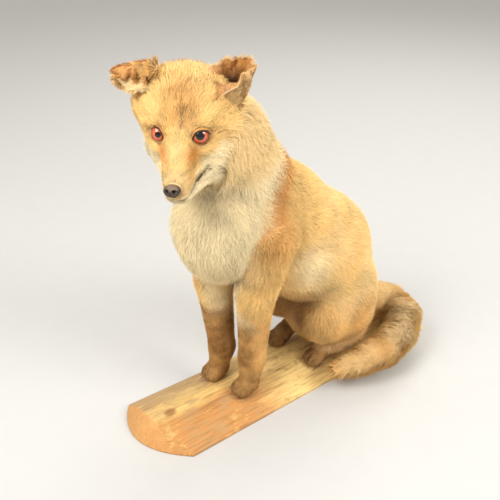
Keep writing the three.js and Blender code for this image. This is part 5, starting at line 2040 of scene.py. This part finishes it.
@dataclass(frozen=True)
class EyeFinish:
    """A glass eye: black pupil, orange-red iris darker at its edge, and clear glass over both."""

    pupil: float
    iris: float = 50
    black: Colour = tint(10, 6, 5)
    inner: Colour = tint(232, 116, 74)
    outer: Colour = tint(168, 70, 40)
    ground: Colour = tint(96, 36, 18)

    def make(self, name: str) -> bpy.types.Material:
        """Makes the finish."""
        sheet = Sheet(name)
        polar, _, _ = sheet.three("polar")
        streak = sheet.noise(sheet.place(), 1500, 3)
        share = polar.rise(self.pupil + 4, self.iris) * 0.8 + streak * 0.3
        iris = sheet.mix(self.inner, self.outer, share)
        iris = sheet.mix(self.black, iris, polar.rise(self.pupil - 1.2, self.pupil + 1.2))
        colour = sheet.mix(iris, self.ground, polar.rise(self.iris - 2, self.iris + 8))
        glass = {"Coat_Weight": 1, "Coat_Roughness": 0.04, "Coat_IOR": 1.6, "Specular_IOR_Level": 0}
        return sheet.surface(colour, 0.6, None, **glass)


@dataclass(frozen=True)
class NoseFinish:
    """Nose leather: dark grey-brown, pebbled, with painted highlight on its top and painted shade black in
    the nostrils.
    """

    colour: Colour = tint(70, 54, 43)
    # Painted highlight colour of the pad's top.
    top: Colour = tint(130, 106, 84)
    # Painted shade colour of the nostrils and groove.
    deep: Colour = tint(12, 8, 6)

    def make(self) -> bpy.types.Material:
        """Makes the finish."""
        sheet = Sheet("nose_leather")
        hollow, top, _ = sheet.three("pad")
        pebble = sheet.node("ShaderNodeTexVoronoi", {}, {"Vector": sheet.place(), "Scale": 1500}, "Distance")
        patch = sheet.noise(sheet.place(), 300)
        # Painted highlight: paler on the pad's top.
        colour = sheet.scaled(sheet.mix(self.colour, self.top, top), patch * 0.7 + 0.6)
        # Painted shade: near black in the nostrils and groove.
        colour = sheet.mix(colour, self.deep, hollow.rise(0.1, 0.7))
        normal = sheet.bump(pebble * 0.7 + patch * 0.3, 0.00035, 0.7)
        return sheet.surface(colour, patch * 0.2 + 0.36, normal, Specular_IOR_Level=0.5)


@dataclass(frozen=True)
class ClawFinish:
    """Claw horn: brown, with fine lines along it."""

    colour: Colour = tint(168, 128, 84)
    deep: Colour = tint(104, 72, 44)

    def make(self) -> bpy.types.Material:
        """Makes the finish."""
        sheet = Sheet("claw_horn")
        line = sheet.noise(sheet.place(3, 0.4, 3), 1400, 2)
        colour = sheet.mix(self.deep, self.colour, line.rise(0.3, 0.7))
        return sheet.surface(colour, 0.34, sheet.bump(line, 0.0001, 0.6), Specular_IOR_Level=0.5)


@dataclass(frozen=True)
class WoodFinish:
    """Bare wood gone pale: greyed on one side, yellow in the middle, orange on the other, one knot. The
    yellow middle is partly painted highlight along the round top, and a patch of painted light brightens the
    rear.
    """

    greyed: Colour = tint(186, 152, 104)
    yellow: Colour = tint(232, 192, 118)
    orange: Colour = tint(206, 146, 84)
    fresh: Colour = tint(250, 212, 136)
    dark: Colour = tint(138, 90, 44)
    cut_face: Colour = tint(214, 156, 92)
    knot_at: Point = (0.002, -0.150, 0)
    knot_stretch: Point = (1, 0.7, 0)

    def make(self) -> bpy.types.Material:
        """Makes the finish."""
        sheet = Sheet("board_wood")
        at = sheet.place()
        made = sheet.node("ShaderNodeSeparateXYZ", {}, {0: at})
        across, along = made, Value(sheet, made.socket.node.outputs[1])
        drifted = across + sheet.noise(sheet.place(1, 0.25, 1), 60, 3) * 0.03 - 0.015
        grain = sheet.noise(sheet.place(1, 0.06, 1), 420, 4, 0.62)
        fleck = sheet.noise(sheet.place(1, 0.16, 1), 330, 4, 0.7)
        patch = sheet.noise(sheet.place(1, 0.45, 1), 75, 4, 0.65)
        centre = tuple(a * b for a, b in zip(self.knot_at, self.knot_stretch))
        inputs = {0: sheet.place(*self.knot_stretch), 1: centre}
        far = sheet.node("ShaderNodeVectorMath", {"operation": "DISTANCE"}, inputs, "Value")
        knot = (far + fleck * 0.006).rise(0.0095, 0.0055)
        face = sheet.mix(self.cut_face, self.orange, grain.rise(0.35, 0.70))
        colour = sheet.layers(
            self.greyed,
            # The yellow band along the middle is partly the wood's own colour and partly painted highlight
            # along the crown.
            (self.yellow, drifted.rise(-0.022, -0.004)),
            (self.orange, drifted.rise(0.004, 0.018)),
            (self.yellow, patch.rise(0.54, 0.64) * 0.55),
            (self.greyed, patch.rise(0.50, 0.38) * 0.55),
            # Painted light: a bright patch over the rear of the top, where the fox casts its shadow.
            (self.fresh, along.rise(-0.075, -0.01) * patch.rise(0.30, 0.46)),
            (self.dark, grain.rise(0.46, 0.68) * 0.44),
            (self.dark, fleck.rise(0.60, 0.70) * 0.40),
            (self.dark, knot * 0.75),
            (face, along.rise(-0.1685, -0.1715) * 0.85),
        )
        height = grain * 0.6 + fleck * 0.4
        return sheet.surface(colour, 0.66, sheet.bump(height, 0.0010, 0.9), Specular_IOR_Level=0.3)


@dataclass(frozen=True)
class FloorFinish:
    """Plain pale paper floor."""

    colour: Colour = tint(205, 203, 198)

    def make(self) -> bpy.types.Material:
        """Makes the finish."""
        sheet = Sheet("pale_floor")
        tooth = sheet.noise(sheet.place(), 40, 2)
        return sheet.surface(sheet.scaled(self.colour, tooth * 0.04 + 0.98), 0.8)


# ---- building


class FoxBuilder:
    """The fox: its skin, coat, eyes, nose and claws."""

    skin_nodes: tuple[str, ...] = (
        "neck", "chest", "loins", "rump", "thigh_left", "thigh_right",
        "foreleg_upper_left", "foreleg_upper_right", "foreleg_lower_left", "foreleg_lower_right",
        "forepaw_left", "forepaw_right", "hock_left", "hock_right", "hindpaw_left", "hindpaw_right",
        "tail_root", "tail_middle", "tail_tip", "head", "muzzle", "lower_jaw", "ear_left", "ear_right",
    )
    steps: int = 2
    most_triangles: int = 190000

    def __init__(self, cells: float, density: float) -> None:
        """Keeps how coarse the skin is and how dense the coat."""
        self.shape = FoxShape()
        self.markings = Markings(self.shape)
        self.cells, self.density = cells, density

    def build(self) -> None:
        """Builds every piece of the fox."""
        body = BodySkin(self.shape, self.markings).build(self.cells)
        lids = [Lids(eye).build() for eye in EYES]
        ears = [RightEar().build(), LeftEar().build()]
        self._skin([body, *lids, *ears])
        self._coat(body, ears)
        self._eyes()
        self._nose()
        self._claws()

    def _marks(self, masks: Array) -> dict[str, Array]:
        """The masks as the two vectors that the finishes read."""
        return {"marks_a": masks[:, :3], "marks_b": masks[:, 3:]}

    def _strip(self) -> Array:
        """Triangles of one tuft: two for each step but the last, which comes to a point."""
        last = 2 * self.steps
        left = [[n, n + 3, n + 1] for n in range(0, last - 2, 2)]
        right = [[n, n + 2, n + 3] for n in range(0, last - 2, 2)]
        return np.array(left + right + [[last - 2, last, last - 1]])

    def _skin(self, shells: list[Shell]) -> None:
        """Joins the shells into one skin."""
        start = np.cumsum([0] + [len(shell.points) for shell in shells])
        faces = np.concatenate([shell.faces + first for shell, first in zip(shells, start)])
        points = np.concatenate([shell.points for shell in shells])
        normals = np.concatenate([shell.normals for shell in shells])
        values = self._marks(np.concatenate([shell.masks for shell in shells]))
        made = make_piece("skin", points, faces, SkinFinish().make(), normals, values)
        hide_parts(*self.skin_nodes)

    def _coat(self, body: Shell, ears: list[Shell]) -> None:
        """Grows the coat and cuts it into pieces."""
        coat = Coat(self.shape, SkinField(self.shape), Lie(self.shape), self.density)
        roots = coat.roots(body, ears)
        LOG.info("coat: %d tufts", len(roots.points))
        material = CoatFinish().make()
        strip = self._strip()
        for region in Region:
            mine = np.flatnonzero(roots.region == region.value)
            pieces = max(1, math.ceil(len(mine) * len(strip) / self.most_triangles))
            for number, part in enumerate(np.array_split(mine, pieces), 1):
                grown = coat.grow(roots.pick(part), self.steps)
                flat = {key: value.reshape((-1,) + value.shape[2:]) for key, value in grown.items()}
                first = (2 * self.steps + 1) * np.arange(len(part))
                faces = (strip[None] + first[:, None, None]).reshape(-1, 3)
                strand = np.stack([flat["tone"], flat["along"], np.zeros(len(flat["tone"]))], 1)
                values = self._marks(flat["masks"]) | {"strand": strand}
                name = f"coat_{region.name.lower()}_{number}"
                made = make_piece(name, flat["points"], faces, material, flat["normals"], values, flat["uv"])

    def _eyes(self) -> None:
        """Builds the glass eyes."""
        for eye in EYES:
            name = "eye_" + eye.side.name.lower()
            points, faces, polar = EyeBall(eye).build()
            none = np.zeros(len(polar))
            values = {"polar": np.stack([polar, none, none], 1)}
            material = EyeFinish(eye.pupil).make("glass_" + name)
            made = make_piece("glass_" + name, points, faces, material, None, values)
            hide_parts(name)

    def _nose(self) -> None:
        """Builds the nose pad."""
        points, faces, pad = NosePad().build()
        made = make_piece("nose_pad", points, faces, NoseFinish().make(), None, {"pad": pad})
        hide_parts("nose")

    def _claws(self) -> None:
        """Builds the claws."""
        points, faces = Claws(self.shape).build()
        make_piece("claws", points, faces, ClawFinish().make())


class Studio:
    """The floor, the camera and the lights."""

    eye_at: Point = (0.4745, -0.415, 0.520)
    azimuth: float = math.radians(52.1)
    pitch: float = math.radians(30)
    lens: float = 50.4
    film: float = 36
    nearest: float = 0.01
    farthest: float = 30
    aim: Point = (0.01, -0.02, 0.18)
    lamps: tuple[tuple[str, Point, float, float], ...] = (
        ("key_light", (0.10, -1.20, 1.40), 0.8, 22),
        ("side_light", (1.20, 0.50, 1.10), 0.7, 15),
        ("back_light", (-0.5, 1, 1.3), 1, 9),
    )
    sky: Colour = (1, 0.98, 0.95)
    sky_strength: float = 0.62
    floor_half: float = 3
    floor_lines: int = 61

    def build(self) -> None:
        """Builds the studio."""
        self._floor()
        self._camera()
        for lamp in self.lamps:
            self._light(*lamp)
        world = bpy.data.worlds.new("studio")
        world.use_nodes = True
        world.node_tree.nodes["Background"].inputs["Color"].default_value = (*self.sky, 1)
        world.node_tree.nodes["Background"].inputs["Strength"].default_value = self.sky_strength
        bpy.context.scene.world = world
        bpy.context.scene.view_settings.view_transform = "Standard"

    def _floor(self) -> None:
        """Lays the floor as a fine grid that turns up gently far behind the fox."""
        step = np.linspace(-self.floor_half, self.floor_half, self.floor_lines)
        x, y = np.meshgrid(step, step, indexing="ij")
        z = -0.0002 + 0.25 * np.maximum(np.hypot(x, y) - 2.2, 0) ** 2
        points = np.stack([x, y, z], -1).reshape(-1, 3) / MM
        faces = sheet_faces(self.floor_lines, self.floor_lines)[:, ::-1]
        made = make_piece("floor", points, faces, FloorFinish().make())

    def _camera(self) -> None:
        """Sets the camera: turned by its azimuth from +Y towards -X, and down by its pitch."""
        data = bpy.data.cameras.new("camera")
        data.lens, data.sensor_width = self.lens, self.film
        data.clip_start, data.clip_end = self.nearest, self.farthest
        made = bpy.data.objects.new("camera", data)
        made.location = self.eye_at
        made.rotation_euler = (math.pi / 2 - self.pitch, 0, self.azimuth)
        bpy.context.scene.collection.objects.link(made)
        bpy.context.scene.camera = made

    def _light(self, name: str, at: Point, size: float, power: float) -> None:
        """Hangs a square soft light that faces the fox."""
        data = bpy.data.lights.new(name, "AREA")
        data.size, data.energy = size, power
        made = bpy.data.objects.new(name, data)
        made.location = at
        towards = Vector(self.aim) - made.location
        made.rotation_euler = towards.to_track_quat("-Z", "Y").to_euler()
        bpy.context.scene.collection.objects.link(made)


def build_slab() -> None:
    """Builds the board that the fox sits on."""
    points, faces = SlabBoard().build()
    made = make_piece("board", points, faces, WoodFinish().make())
    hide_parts("base_slab")


def write_size() -> None:
    """Brings the scene up to date."""
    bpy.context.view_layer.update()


def main() -> None:
    """Builds the fox, its board and the studio."""
    logging.basicConfig(level=logging.INFO, format="%(message)s")
    FoxBuilder(cells=1, density=1).build()
    build_slab()
    Studio().build()
    write_size()


if __name__ == "__main__":
    main()
